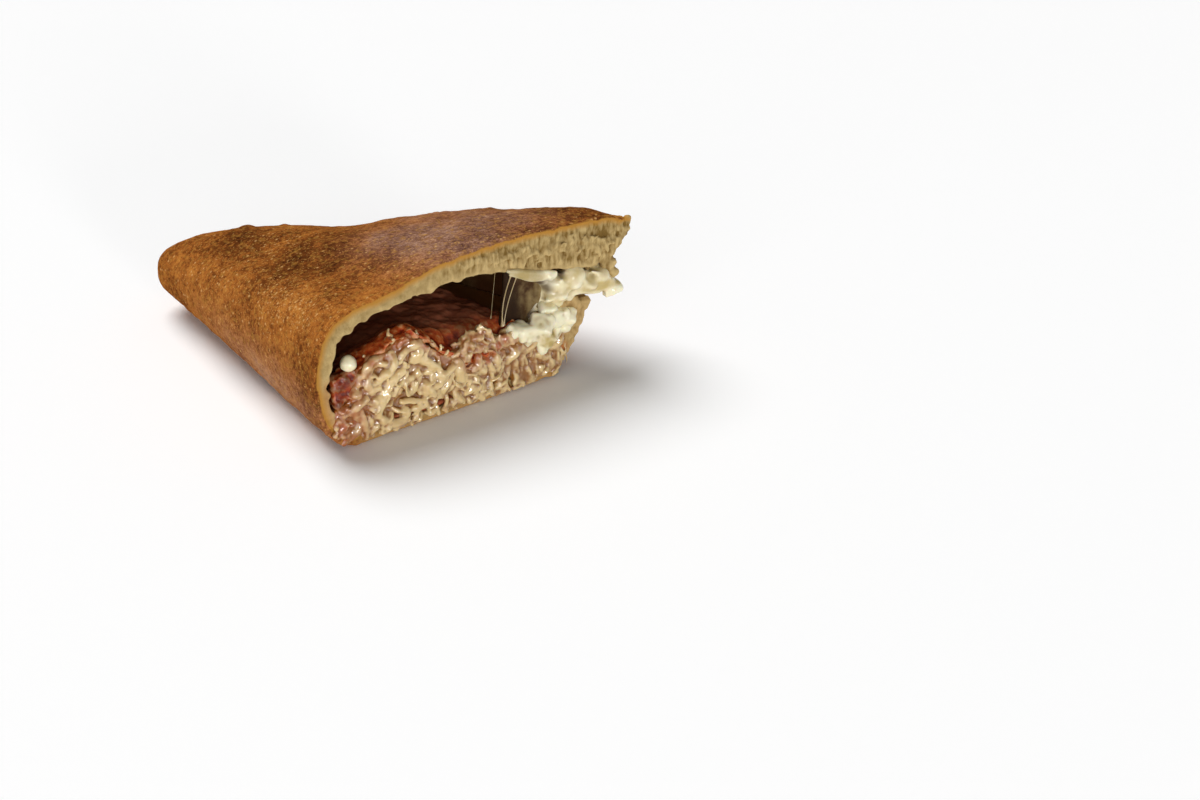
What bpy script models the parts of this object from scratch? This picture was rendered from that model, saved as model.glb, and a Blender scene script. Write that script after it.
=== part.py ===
"""Half of a baked panzerotto, a folded and sealed dough turnover, cut across its middle.

The cut face looks along +X, the tip points along -X, the folded side faces -Y and the
sealed seam faces +Y. Metres, +Z up, with the origin on the table under the middle.
"""

import functools
import math
import random

import bmesh
import bpy
from mathutils import Vector, noise

MM = 0.001

# Driving dimensions, in millimetres. X is 0 at the cut and Y is 0 at the foot of the fold.
HALF_LENGTH = 149.0  # from the cut face to the tip
CUT_WIDTH = 139.0  # from the folded side to the seam, at the cut
CUT_HEIGHT = 63.0  # highest point of the puffed top
FOLD_Y = -10.5  # belly of the folded side at the cut
TIP_Y = -3.0  # belly of the folded side at the tip
TIP_WIDTH = 16.0
TIP_HEIGHT = 26.0
TIP_LIFT = 7.0  # the tip curls up off the table
NOSE_LENGTH = 13.0  # rounded end of the tip
HOLLOW_LENGTH = 116.0  # how deep the pocket runs in from the cut
GAP = 0.6  # clearance between neighbouring pieces

# The cut face, from the front of the flat base up the fold, over the top and down the seam.
# Each row is the outer skin and the pocket wall, as Y and Z at the cut.
CUT_OUTLINE = (
    ((9, 0), (9, 5)),  # front of the flat base
    ((0, 1.2), (0.5, 6)),
    ((-6.5, 8), (-3.5, 11)),
    ((-9.5, 17), (-5.5, 18)),
    ((-11, 28), (-5.5, 28)),  # belly of the fold
    ((-9, 39), (-3.5, 37)),
    ((-5.5, 47.5), (-0.5, 43.5)),
    ((3, 53), (7, 47)),  # shoulder above the fold
    ((18, 55.5), (20, 50.5)),
    ((42, 61), (42, 52)),
    ((65, 63), (62, 52)),  # crown
    ((91, 62.5), (83, 47.5)),
    ((112, 59.5), (98, 44)),
    ((124, 56.5), (107, 42)),
    ((129, 50), (110, 40)),  # end of the thick seam lip
    ((124, 40), (109, 36.5)),
    ((112, 31), (104, 30)),  # pinch under the lip
    ((106, 21), (99, 21)),
    ((100, 10), (94.5, 12)),
    ((88, 0), (85, 5.5)),  # back of the flat base
    ((45, 0), (45, 4)),
)

# Swells and dents of the baked top: X, Y, reach along X and Y, height.
SWELLS = (
    (-128.0, 20.0, 15.0, 16.0, 1.7),
    (-112.0, 36.0, 15.0, 20.0, 1.2),
    (-90.0, 57.0, 13.0, 20.0, -2.6),
    (-70.0, 52.0, 12.0, 20.0, -1.2),
    (-12.0, 121.0, 17.0, 16.0, 2.4),
)
# The crease slants across the top: a low ridge with a trough behind it.
CREASE_PLACE = (-80.0, 27.0)
CREASE_HEADING = (0.82, 0.57)
CREASE_REACH = 24.0
RIDGE = (-3.0, 3.5, 1.5)  # place across the crease, reach and height
TROUGH = (3.5, 4.0, -1.9)

# Top of the cheese heap, and the sauce's depth on it: Y, value at the cut, value deep inside.
CHEESE_TOP = (
    (-6, 16, 14), (3, 18, 15), (7, 29, 21), (14, 33, 24), (22, 36, 26), (29, 38.5, 27),
    (36, 33, 26), (44, 24, 25), (54, 18, 24), (63, 20, 23), (73, 20.5, 22), (82, 23, 22),
    (92, 24, 22), (110, 27, 22),
)
SAUCE_DEPTH = (
    (-6, 12, 9), (3, 10.5, 9), (7, 3, 6), (14, 2.6, 5), (29, 2.6, 5), (36, 4.5, 5),
    (44, 6, 5), (54, 8.5, 5), (63, 7.5, 5), (76, 6, 4), (110, 4, 4),
)
SAUCE_RUN_IN = 22.0  # how far in from the cut the heap takes on its inner height
FILLING_LENGTH = 102.0
FILL_LEVEL = 24.0
LOWER_SAUCE_DEPTH = 1.6
LOWER_SAUCE_Y = (13.0, 64.0)
LOWER_SAUCE_LENGTH = 66.0
# Shreds and curds that the cut shows: half their thickness, their spacing and their number.
SHRED_SIZES = ((2.1, 5.2, 14), (1.7, 4.6, 16), (1.6, 3.6, 22))
CURD_SPACING = 4.0
SHRED_Y = (8.0, 95.0)

# The seam has torn open next to the cut: height of the gap at the pocket, and its length.
TEAR_Z = (28.5, 42.0)
TEAR_Y = 98.0
TEAR_LENGTH = 17.0
# Roof and floor of the gap on its way out: Y, and how much further the dough gapes there.
TEAR_ROOF = ((98, 0.0), (108, 0.4), (120, 0.9), (136, 1.6))
TEAR_FLOOR = ((136, 8.0), (120, 3.0), (108, 0.2), (98, 0.0))
ROOF_FALL = 0.08
FLOOR_FALL = 0.02

# Melted cheese: a flap under the lid, a tongue out through the tear, and a drape inside it.
# Tongue and drape rows are x, y, z, half the width along X and half the other thickness.
FLAP_Y = (74.0, 101.0)
FLAP_DEPTH = 3.2
FLAP_LENGTH = 15.0
TONGUE = (
    (-8.0, 84.0, 43.0, 5.0, 2.4), (-7.5, 91.0, 40.0, 7.4, 4.2), (-6.0, 98.0, 37.2, 8.0, 5.2),
    (-4.6, 105.0, 35.6, 7.2, 4.8), (-4.0, 112.0, 34.2, 6.4, 4.9), (-3.2, 118.0, 32.4, 6.0, 4.9),
    (-2.0, 123.0, 29.8, 5.0, 4.2), (-0.8, 126.5, 26.8, 3.4, 2.8),
)
DRAPE = (
    (-4.5, 93.5, 38.0, 4.6, 4.0), (-4.2, 94.5, 34.0, 5.4, 4.4), (-3.8, 95.5, 30.5, 5.2, 3.8),
    (-3.2, 96.0, 28.2, 3.8, 3.0),
)
MELTED_CURDS = (
    (0.6, 97.0, 33.2, 3.4), (-0.5, 91.0, 33.0, 3.0), (1.4, 102.6, 36.2, 3.2), (1.4, 110.5, 33.8, 3.4),
    (0.2, 118.0, 30.6, 3.2),
)
CURD_PLACE = (-1.5, 4.6, 35.4)
CURD_RADIUS = 3.3
# Drawn strings: foot and head as x and y, and half their thickness in the middle.
STRINGS = (
    ((-0.5, 69.8), (-0.8, 75.2), 0.75),
    ((-2.0, 73.0), (-1.4, 79.2), 0.6),
    ((-4.5, 66.5), (-5.5, 76.8), 0.45),
)
FLAKE_PLACE = (0.5, 92.0, 1.75)  # browned flake of crust at the foot of the seam
FLAKE_SIZE = (2.6, 4.2, 1.6)

LOOP_POINTS = 54
OUTER_RINGS = 27
INNER_RINGS = 19
HEAP_RINGS = 14
HEAP_COLUMNS = 24
SAUCE_COLUMNS = 18
PORES = 13

CRUST_COLOUR = (0.31, 0.12, 0.035)
CHEESE_COLOUR = (0.72, 0.60, 0.36)
MELTED_COLOUR = (0.78, 0.70, 0.44)
SAUCE_COLOUR = (0.33, 0.035, 0.012)


def make_material(name, colour, roughness):
    material = bpy.data.materials.new(name)
    material.use_nodes = True
    shader = material.node_tree.nodes["Principled BSDF"]
    shader.inputs["Base Color"].default_value = (*colour, 1.0)
    shader.inputs["Roughness"].default_value = roughness
    shader.inputs["Metallic"].default_value = 0.0
    return material


def mix(a, b, share):
    return a + (b - a) * share


def smoothstep(low, high, value):
    t = min(max((value - low) / (high - low), 0.0), 1.0)
    return t * t * (3 - 2 * t)


def interpolate(table, y, column):
    """Value of a column of a (Y, value, value) table at y, with rounded corners."""
    if y <= table[0][0]:
        return table[0][column]
    for low, high in zip(table, table[1:]):
        if y <= high[0]:
            return mix(low[column], high[column], smoothstep(low[0], high[0], y))
    return table[-1][column]


def loop_through(points, count):
    """A closed Catmull-Rom curve through the points, read at count places."""
    found = []
    for i in range(count):
        place = i * len(points) / count
        k = int(place)
        t = place - k
        a, b, c, d = (Vector(points[(k + n) % len(points)]) for n in (-1, 0, 1, 2))
        bend = 2 * a - 5 * b + 4 * c - d
        twist = 3 * b - a - 3 * c + d
        found.append(0.5 * (2 * b + (c - a) * t + bend * t**2 + twist * t**3))
    return found


def lumps(point, size, seed):
    """Smooth noise from -1 to 1, with lumps about that many millimetres across."""
    return noise.noise(Vector(point) / size + Vector((seed, 0.7 * seed, -seed)))


CUT_SKIN = loop_through([skin for skin, _ in CUT_OUTLINE], LOOP_POINTS)
CUT_POCKET = loop_through([pocket for _, pocket in CUT_OUTLINE], LOOP_POINTS)


def fold_y(s):
    """Y of the folded side's belly, s millimetres in from the cut."""
    return mix(FOLD_Y, TIP_Y, (s / HALF_LENGTH) ** 0.8)


def seam_y(s):
    """Y of the seam's edge, which rounds in to the tip as a half-moon does."""
    reach = 1 - (s / HALF_LENGTH) ** 1.7
    return mix(TIP_Y + TIP_WIDTH, FOLD_Y + CUT_WIDTH, reach)


def base_z(s):
    return TIP_LIFT * smoothstep(100, HALF_LENGTH, s)


def top_z(s):
    return mix(CUT_HEIGHT, TIP_HEIGHT, (s / HALF_LENGTH) ** 1.35)


def nose(s):
    """How much of the section is left in the rounded end of the tip."""
    into = max(s - (HALF_LENGTH - NOSE_LENGTH), 0.0) / NOSE_LENGTH
    return math.sqrt(max(1 - into**2.2, 0.0))


def oval(angle):
    """A point of a slightly squared oval that fills the box from 0 to 1."""
    c, s = math.cos(angle), math.sin(angle)
    return (0.5 + 0.5 * math.copysign(abs(c) ** 0.85, c), 0.5 + 0.5 * math.copysign(abs(s) ** 0.85, s))


def skin_loop(s):
    """The outer skin's section, s millimetres in: the cut's outline, rounder towards the tip."""
    low_y, high_y, low_z, high_z = fold_y(s), seam_y(s), base_z(s), top_z(s)
    middle = Vector(((low_y + high_y) / 2, (low_z + high_z) / 2))
    roundness = smoothstep(35, 140, s)
    found = []
    for point in CUT_SKIN:
        p = (point.x - FOLD_Y) / CUT_WIDTH
        q = max(point.y, 0.0) / CUT_HEIGHT
        round_p, round_q = oval(math.atan2(q - 0.5, p - 0.5))
        y = mix(low_y, high_y, mix(p, round_p, roundness))
        z = mix(low_z, high_z, mix(q, round_q, roundness))
        found.append(middle + (Vector((y, z)) - middle) * nose(s))
    return found


@functools.lru_cache(maxsize=None)
def pocket_loop(s):
    """The pocket's section: the skin less the dough's thickness, closing at its far end."""
    points = [skin + (inner - outer) for skin, inner, outer in zip(skin_loop(s), CUT_POCKET, CUT_SKIN)]
    middle = sum(points, Vector((0, 0))) / len(points)
    closing = math.sqrt(max(1 - (s / HOLLOW_LENGTH) ** 5, 0.0))
    return [middle + (point - middle) * closing for point in points]


def crossings(loop, y):
    """Heights at which a section crosses y."""
    found = []
    for a, b in zip(loop, loop[1:] + loop[:1]):
        if (a.x - y) * (b.x - y) <= 0 and a.x != b.x:
            found.append(mix(a.y, b.y, (y - a.x) / (b.x - a.x)))
    return found


def pocket_floor(loop, y):
    """Lowest free height at y, clear of the pocket's floor all round."""
    return max(min(crossings(loop, y + shift), default=99) for shift in (-GAP, 0, GAP)) + GAP


def pocket_ceiling(loop, y):
    return min(max(crossings(loop, y + shift), default=0) for shift in (-GAP, 0, GAP)) - GAP


def pocket_span(loop, level):
    """Lowest and highest Y that a piece in the pocket can reach up to a level."""
    sides = [(point.y, point.x) for point in loop]
    walls = []
    for (z, y), (next_z, next_y) in zip(sides, sides[1:] + sides[:1]):
        if (z - level) * (next_z - level) <= 0 and z != next_z:
            walls.append(mix(y, next_y, (level - z) / (next_z - z)))
    return min(walls) + 2 * GAP, max(walls) - 2 * GAP


def crust_relief(point):
    """How far the skin stands out at a point: puffs, dents, and the crease near the tip."""
    relief = 0.9 * lumps(point, 34, 3) + 0.5 * lumps(point, 15, 8) + 0.3 * lumps(point, 7, 5)
    for x, y, reach_x, reach_y, height in SWELLS:
        relief += height * math.exp(-(((point.x - x) / reach_x) ** 2) - ((point.y - y) / reach_y) ** 2)
    x, y = point.x - CREASE_PLACE[0], point.y - CREASE_PLACE[1]
    along = x * CREASE_HEADING[0] + y * CREASE_HEADING[1]
    across = y * CREASE_HEADING[0] - x * CREASE_HEADING[1]
    crease = sum(height * math.exp(-(((across - at) / reach) ** 2)) for at, reach, height in (RIDGE, TROUGH))
    relief += crease * math.exp(-((along / CREASE_REACH) ** 2)) * smoothstep(24, 34, point.z)
    return relief * smoothstep(1, 9, point.z)


def mesh_from(bm, name):
    """Turns a closed bmesh in millimetres into a mesh in metres with its faces out."""
    bmesh.ops.triangulate(bm, faces=bm.faces, quad_method="FIXED")
    bmesh.ops.recalc_face_normals(bm, faces=bm.faces)
    bmesh.ops.scale(bm, vec=(MM, MM, MM), verts=bm.verts)
    mesh = bpy.data.meshes.new(name)
    bm.to_mesh(mesh)
    bm.free()
    mesh.shade_smooth()
    return mesh


def new_object(name, mesh, collection, material=None):
    obj = bpy.data.objects.new(name, mesh)
    if material:
        mesh.materials.append(material)
    collection.objects.link(obj)
    return obj


def bridge(bm, first, second):
    """Quads between two closed rings with the same number of points."""
    for i in range(len(first)):
        k = (i + 1) % len(first)
        bm.faces.new((first[i], first[k], second[k], second[i]))


def fan(bm, ring, tip):
    for i in range(len(ring)):
        bm.faces.new((ring[i], ring[(i + 1) % len(ring)], tip))


def section(bm, loop, s):
    return [bm.verts.new((-s, point.x, point.y)) for point in loop]


def stations(length, count):
    """Distances from the cut, closer together at both ends, short of the length itself."""
    shares = [i / count for i in range(count)]
    return [length * mix(t, (1 - math.cos(math.pi * t)) / 2, 0.45) for t in shares]


def add_tube(bm, path, wide, deep, sides, across, lumpy=None):
    """A closed tube along a path, with oval sections, wide along the across direction."""
    rings = []
    for k, centre in enumerate(path):
        along = (path[min(k + 1, len(path) - 1)] - path[max(k - 1, 0)]).normalized()
        first = (across - along * across.dot(along)).normalized()
        second = along.cross(first)
        ring = []
        for i in range(sides):
            angle = 2 * math.pi * i / sides
            reach = first * math.cos(angle) * wide[k] + second * math.sin(angle) * deep[k]
            if lumpy:
                reach *= 1 + 0.2 * lumps(centre + reach, 5, lumpy)
            ring.append(bm.verts.new(centre + reach))
        rings.append(ring)
    for first, second in zip(rings, rings[1:]):
        bridge(bm, first, second)
    for ring, end, inner, depth in ((rings[0], 0, 1, deep[0]), (rings[-1], -1, -2, deep[-1])):
        out = (path[end] - path[inner]).normalized()
        fan(bm, ring, bm.verts.new(path[end] + out * depth * 0.6))


def add_ball(bm, place, size, detail=1):
    """A lump with half its size along each axis."""
    for vert in bmesh.ops.create_icosphere(bm, subdivisions=detail, radius=1)["verts"]:
        vert.co = Vector(place) + Vector([a * b for a, b in zip(vert.co, size)])


def slab(bm, distances, row, low, high):
    """A closed sheet: row(s) gives its Y columns, low and high its faces at (s, y)."""
    under, over = [], []
    for s in distances:
        floors = [(y, low(s, y)) for y in row(s)]
        roofs = [(y, max(high(s, y), floor + 0.4)) for y, floor in floors]
        under.append([bm.verts.new((-s, y, z)) for y, z in floors])
        over.append([bm.verts.new((-s, y, z)) for y, z in roofs])
    columns = range(len(under[0]) - 1)
    for rows in (under, over):
        for first, second in zip(rows, rows[1:]):
            for j in columns:
                bm.faces.new((first[j], first[j + 1], second[j + 1], second[j]))
    for a, b in ((under[0], over[0]), (under[-1], over[-1])):
        for j in columns:
            bm.faces.new((a[j], a[j + 1], b[j + 1], b[j]))
    for j in (0, -1):
        for k in range(len(under) - 1):
            bm.faces.new((under[k][j], under[k + 1][j], over[k + 1][j], over[k][j]))


def cut_by(obj, cutter):
    """Takes a cutter's shape out of an object, and keeps the cutter out of the model."""
    modifier = obj.modifiers.new(cutter.name, "BOOLEAN")
    modifier.operation = "DIFFERENCE"
    modifier.object = cutter
    cutter.hide_render = True
    cutter.display_type = "WIRE"


def join_pieces(obj, meshes):
    """Fuses meshes into an object with one Boolean union, and drops what stays loose."""
    pieces = bpy.data.collections.new(f"{obj.name}_pieces")
    bpy.context.scene.collection.children.link(pieces)
    for mesh in meshes:
        new_object(mesh.name, mesh, pieces)
    modifier = obj.modifiers.new("join", "BOOLEAN")
    modifier.operation = "UNION"
    modifier.operand_type = "COLLECTION"
    modifier.collection = pieces
    joined = bpy.data.meshes.new_from_object(obj.evaluated_get(bpy.context.evaluated_depsgraph_get()))
    obj.modifiers.clear()
    obj.data = joined
    for piece in list(pieces.objects):
        bpy.data.objects.remove(piece)
    bpy.data.collections.remove(pieces)
    keep_largest(joined)


def keep_largest(mesh):
    """Deletes every loose scrap and sealed bubble, all but the body with the most points."""
    bm = bmesh.new()
    bm.from_mesh(mesh)
    left = set(bm.verts)
    bodies = []
    while left:
        body = {left.pop()}
        edge = set(body)
        while edge:
            edge = {e.other_vert(v) for v in edge for e in v.link_edges} - body
            body |= edge
        left -= body
        bodies.append(body)
    largest = max(bodies, key=len)
    bmesh.ops.delete(bm, geom=[v for v in bm.verts if v not in largest], context="VERTS")
    bm.to_mesh(mesh)
    bm.free()


def build_crust_shell():
    """Skin and pocket wall as one closed shell, joined round the cut's rim."""
    bm = bmesh.new()
    skin_rings = [section(bm, skin_loop(s), s) for s in stations(HALF_LENGTH, OUTER_RINGS)]
    for first, second in zip(skin_rings, skin_rings[1:]):
        bridge(bm, first, second)
    tip_z = (base_z(HALF_LENGTH) + top_z(HALF_LENGTH)) / 2
    fan(bm, skin_rings[-1], bm.verts.new((-HALF_LENGTH, TIP_Y + TIP_WIDTH / 2, tip_z)))
    bm.normal_update()
    outward = math.copysign(1, skin_rings[5][LOOP_POINTS // 2].normal.z)
    skin = [vert for ring in skin_rings for vert in ring]
    moves = [vert.normal * crust_relief(vert.co) * outward for vert in skin]
    for vert, move in zip(skin, moves):
        vert.co += move

    pocket_rings = [section(bm, pocket_loop(s), s) for s in stations(HOLLOW_LENGTH, INNER_RINGS)]
    for first, second in zip(pocket_rings, pocket_rings[1:]):
        bridge(bm, first, second)
    end = sum((vert.co for vert in pocket_rings[-1]), Vector()) / LOOP_POINTS
    fan(bm, pocket_rings[-1], bm.verts.new((-HOLLOW_LENGTH, end.y, end.z)))

    # The rim is torn crumb, sunk a little behind the crust and ragged along the lip.
    crumb = []
    for skin_vert, pocket_vert in zip(skin_rings[0], pocket_rings[0]):
        outer, inner = skin_vert.co, pocket_vert.co
        sunk = -0.5 + 0.9 * lumps((0, outer.y, outer.z), 5, 2)
        inner.z += 0.9 * lumps(inner, 7, 9) * smoothstep(30, 40, inner.z)
        crumb.append(bm.verts.new(outer.lerp(inner, 0.45) + Vector((sunk, 0, 0))))
        lip = smoothstep(108, 122, outer.y)
        outer.x += mix(0.5, 1.6, lip) * lumps(outer, mix(8, 5, lip), 6)
    bridge(bm, skin_rings[0], crumb)
    bridge(bm, crumb, pocket_rings[0])
    return mesh_from(bm, "crust")


def build_tear_cutter():
    """A wedge that opens the seam from the pocket outwards, thinner away from the cut."""
    bm = bmesh.new()
    middle, half_gap = (TEAR_Z[0] + TEAR_Z[1]) / 2, (TEAR_Z[1] - TEAR_Z[0]) / 2
    rings = []
    for i in range(7):
        share = i / 6
        half = half_gap * (1 - 0.85 * share**2.2)
        loop = []
        for y, gape in TEAR_ROOF:
            loop.append(Vector((y, middle + half + gape * (1 - share) - ROOF_FALL * (y - TEAR_Y))))
        for y, gape in TEAR_FLOOR:
            loop.append(Vector((y, middle - half - gape - FLOOR_FALL * (y - TEAR_Y))))
        rings.append(section(bm, loop, mix(-3.0, TEAR_LENGTH, share)))
    for first, second in zip(rings, rings[1:]):
        bridge(bm, first, second)
    bm.faces.new(rings[0])
    bm.faces.new(rings[-1])
    return mesh_from(bm, "seam_tear")


def build_pore_cutters(rng):
    """Bubbles of the crumb that the cut has opened, in the thick part of the lid."""
    bm = bmesh.new()
    made = []
    while len(made) < PORES:
        y = rng.uniform(72, 122)
        radius = rng.uniform(1.0, 1.9)
        low = pocket_ceiling(CUT_POCKET, y) if y < 108 else 43.0
        z = rng.uniform(low + 2.6, max(crossings(CUT_SKIN, y)) - 3.2)
        if all((y - a) ** 2 + (z - b) ** 2 > (radius + r + 1.2) ** 2 for a, b, r in made):
            made.append((y, z, radius))
            add_ball(bm, (0.2, y, z), (radius * 1.2, radius * 0.9, radius * 1.25))
    return mesh_from(bm, "crumb_pores")


def build_flake():
    bm = bmesh.new()
    add_ball(bm, FLAKE_PLACE, FLAKE_SIZE)
    return mesh_from(bm, "crust_flake")


def fill_level(s):
    """Height of the filling's edge along the pocket's sides."""
    return FILL_LEVEL * mix(1, 0.75, smoothstep(60, FILLING_LENGTH, s))


def lower_sauce_span(s):
    """First and last Y of the lower sauce, which keeps off the pocket's rounded sides."""
    low, high = pocket_span(pocket_loop(s), fill_level(s))
    return max(LOWER_SAUCE_Y[0], low + 13), min(LOWER_SAUCE_Y[1], high - 16)


def heap_floor(s, y):
    """The heap lies on the lower sauce in its middle, and on the dough at its sides."""
    floor = pocket_floor(pocket_loop(s), y)
    if s > LOWER_SAUCE_LENGTH + 12:
        return floor
    first, last = lower_sauce_span(s)
    lifted = smoothstep(first - 8, first - 4, y) * (1 - smoothstep(last + 4, last + 8, y))
    return floor + (LOWER_SAUCE_DEPTH + 2 * GAP) * lifted


def heap_top(s, y):
    """Top of the cheese heap, under the sauce."""
    share = smoothstep(0, SAUCE_RUN_IN, s)
    height = mix(interpolate(CHEESE_TOP, y, 1), interpolate(CHEESE_TOP, y, 2), share)
    return max(height * fill_level(s) / FILL_LEVEL, heap_floor(s, y) + 0.5)


def sauce_floor(s, y):
    return heap_top(s, y) + 1.5 * GAP


def sauce_top(s, y):
    share = smoothstep(0, SAUCE_RUN_IN, s)
    depth = mix(interpolate(SAUCE_DEPTH, y, 1), interpolate(SAUCE_DEPTH, y, 2), share)
    top = sauce_floor(s, y) + depth + 0.6 * lumps((-s, y, 0), 7, 12)
    return min(top, pocket_ceiling(pocket_loop(s), y))


def heap_row(s):
    """Y columns of the heap, closer together at its sides."""
    low, high = pocket_span(pocket_loop(s), fill_level(s))
    shares = [(1 - math.cos(math.pi * j / HEAP_COLUMNS)) / 2 for j in range(HEAP_COLUMNS + 1)]
    return [mix(low + 1.5, high - 1.0, share) for share in shares]


def build_heap_core():
    bm = bmesh.new()
    slab(bm, stations(FILLING_LENGTH, HEAP_RINGS), heap_row, heap_floor, heap_top)
    return mesh_from(bm, "cheese_filling")


def build_sauce():
    """The sauce keeps to the heap's own columns, so the two never cross."""
    bm = bmesh.new()
    distances = stations(FILLING_LENGTH, HEAP_RINGS)[:-2]
    slab(bm, distances, lambda s: heap_row(s)[:SAUCE_COLUMNS], sauce_floor, sauce_top)
    return mesh_from(bm, "tomato_sauce")


def build_lower_sauce():
    bm = bmesh.new()

    def row(s):
        first, last = lower_sauce_span(s)
        return [mix(first, last, j / 10) for j in range(11)]

    def low(s, y):
        return pocket_floor(pocket_loop(s), y)

    def high(s, y):
        return low(s, y) + LOWER_SAUCE_DEPTH

    slab(bm, stations(LOWER_SAUCE_LENGTH, 9), row, low, high)
    return mesh_from(bm, "lower_sauce")


def shred_room(y, radius):
    """Lowest and highest middle of a shred at y that stays within the heap's cut face."""
    shifts = (-radius - GAP, 0, radius + GAP)
    low = max(heap_floor(0, y + shift) for shift in shifts) + radius
    high = min(heap_top(0, y + shift) for shift in shifts) - radius
    return low, high


def shred_path(place, rng):
    """Five points along a shred: an arc in the cut face, turned and bent by chance."""
    turn = rng.uniform(-0.5, math.pi * 0.6)
    heading = Vector((rng.uniform(-0.12, 0.12), math.cos(turn), math.sin(turn)))
    length = rng.uniform(5.5, 11)
    side = heading.cross(Vector((1, 0, 0))).normalized() * rng.uniform(-2.2, 2.2)
    shares = [k / 4 for k in range(5)]
    return [
        Vector((0.3, *place)) + heading * length * (share - 0.5) + side * math.sin(math.pi * share)
        for share in shares
    ]


def fits_heap(path, radius):
    for point in path:
        low, high = shred_room(point.y, radius)
        if not (low <= point.z <= high and SHRED_Y[0] <= point.y <= SHRED_Y[1]):
            return False
    return True


def build_shreds(rng):
    """Part-melted shreds on the heap's cut face, kept a little apart, with curds between."""
    places, meshes = [], []
    for radius, spacing, wanted in SHRED_SIZES:
        while wanted:
            place = (rng.uniform(*SHRED_Y), rng.uniform(6, 36))
            path = shred_path(place, rng)
            is_curd = spacing < CURD_SPACING
            near = any(math.dist(place, other) < (spacing + apart) / 2 for other, apart in places)
            if near or not fits_heap(path[2:3] if is_curd else path, radius * 1.05):
                continue
            places.append((place, spacing))
            wanted -= 1
            bm = bmesh.new()
            if is_curd:
                add_ball(bm, path[2], (radius, radius * rng.uniform(0.9, 1.4), radius))
            else:
                wide = [radius * (0.6 + 0.4 * math.sin(math.pi * k / 4)) for k in range(5)]
                add_tube(bm, path, wide, [value * 0.85 for value in wide], 6, Vector((1, 0.1, 0.05)))
            meshes.append(mesh_from(bm, "shred"))
    return meshes


def flap_low(s, y):
    """Underside of the cheese that hangs on the lid."""
    share = (y - FLAP_Y[0]) / (FLAP_Y[1] - FLAP_Y[0])
    depth = FLAP_DEPTH * (0.45 + 0.55 * math.sin(math.pi * share)) * (1 - 0.6 * (s / FLAP_LENGTH) ** 2)
    return pocket_ceiling(pocket_loop(s), y) - depth + 0.5 * lumps((s, y, 0), 5, 21)


def build_flap():
    bm = bmesh.new()
    columns = 9
    row = [mix(FLAP_Y[0], FLAP_Y[1], j / columns) for j in range(columns + 1)]
    distances = [FLAP_LENGTH * k / 5 for k in range(6)]
    slab(bm, distances, lambda s: row, flap_low, lambda s, y: pocket_ceiling(pocket_loop(s), y))
    return mesh_from(bm, "melted_cheese")


def build_melted_pieces():
    """The tongue, the drape and the curds on them, each overlapping its neighbour."""
    meshes = []
    for name, rows, sides in (("tongue", TONGUE, 14), ("drape", DRAPE, 12)):
        bm = bmesh.new()
        path = [Vector(row[:3]) for row in rows]
        wide = [row[3] for row in rows]
        deep = [row[4] for row in rows]
        add_tube(bm, path, wide, deep, sides, Vector((1, 0, 0)), 31)
        meshes.append(mesh_from(bm, name))
    for *place, radius in MELTED_CURDS:
        bm = bmesh.new()
        add_ball(bm, place, (radius, radius * 1.15, radius * 0.9), 2)
        meshes.append(mesh_from(bm, "melted_curd"))
    return meshes


def build_curd():
    bm = bmesh.new()
    add_ball(bm, CURD_PLACE, (CURD_RADIUS, CURD_RADIUS, CURD_RADIUS), 2)
    return mesh_from(bm, "cheese_curd")


def build_string(foot, head, radius):
    """A drawn string from the sauce up to the flap, thin in its middle and flared at its ends."""
    bm = bmesh.new()
    start = Vector((*foot, sauce_top(-foot[0], foot[1]) + 1.6))
    end = Vector((*head, flap_low(-head[0], head[1]) - 1.2))
    path = [start.lerp(end, k / 6) for k in range(7)]
    wide = [radius * (1 + 1.1 * abs(k / 3 - 1) ** 3) for k in range(7)]
    add_tube(bm, path, wide, wide, 8, Vector((1, 0, 0)))
    return mesh_from(bm, "string")


def centre_on_origin(objects):
    """Parents the objects to an empty that puts the model's middle over the origin."""
    depsgraph = bpy.context.evaluated_depsgraph_get()
    corners = []
    for obj in objects:
        corners += [vert.co.copy() for vert in obj.evaluated_get(depsgraph).data.vertices]
    low = Vector([min(corner[axis] for corner in corners) for axis in range(3)])
    high = Vector([max(corner[axis] for corner in corners) for axis in range(3)])
    holder = bpy.data.objects.new("table_point", None)
    bpy.context.scene.collection.objects.link(holder)
    holder.location = (-(low.x + high.x) / 2, -(low.y + high.y) / 2, -low.z)
    return holder


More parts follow.
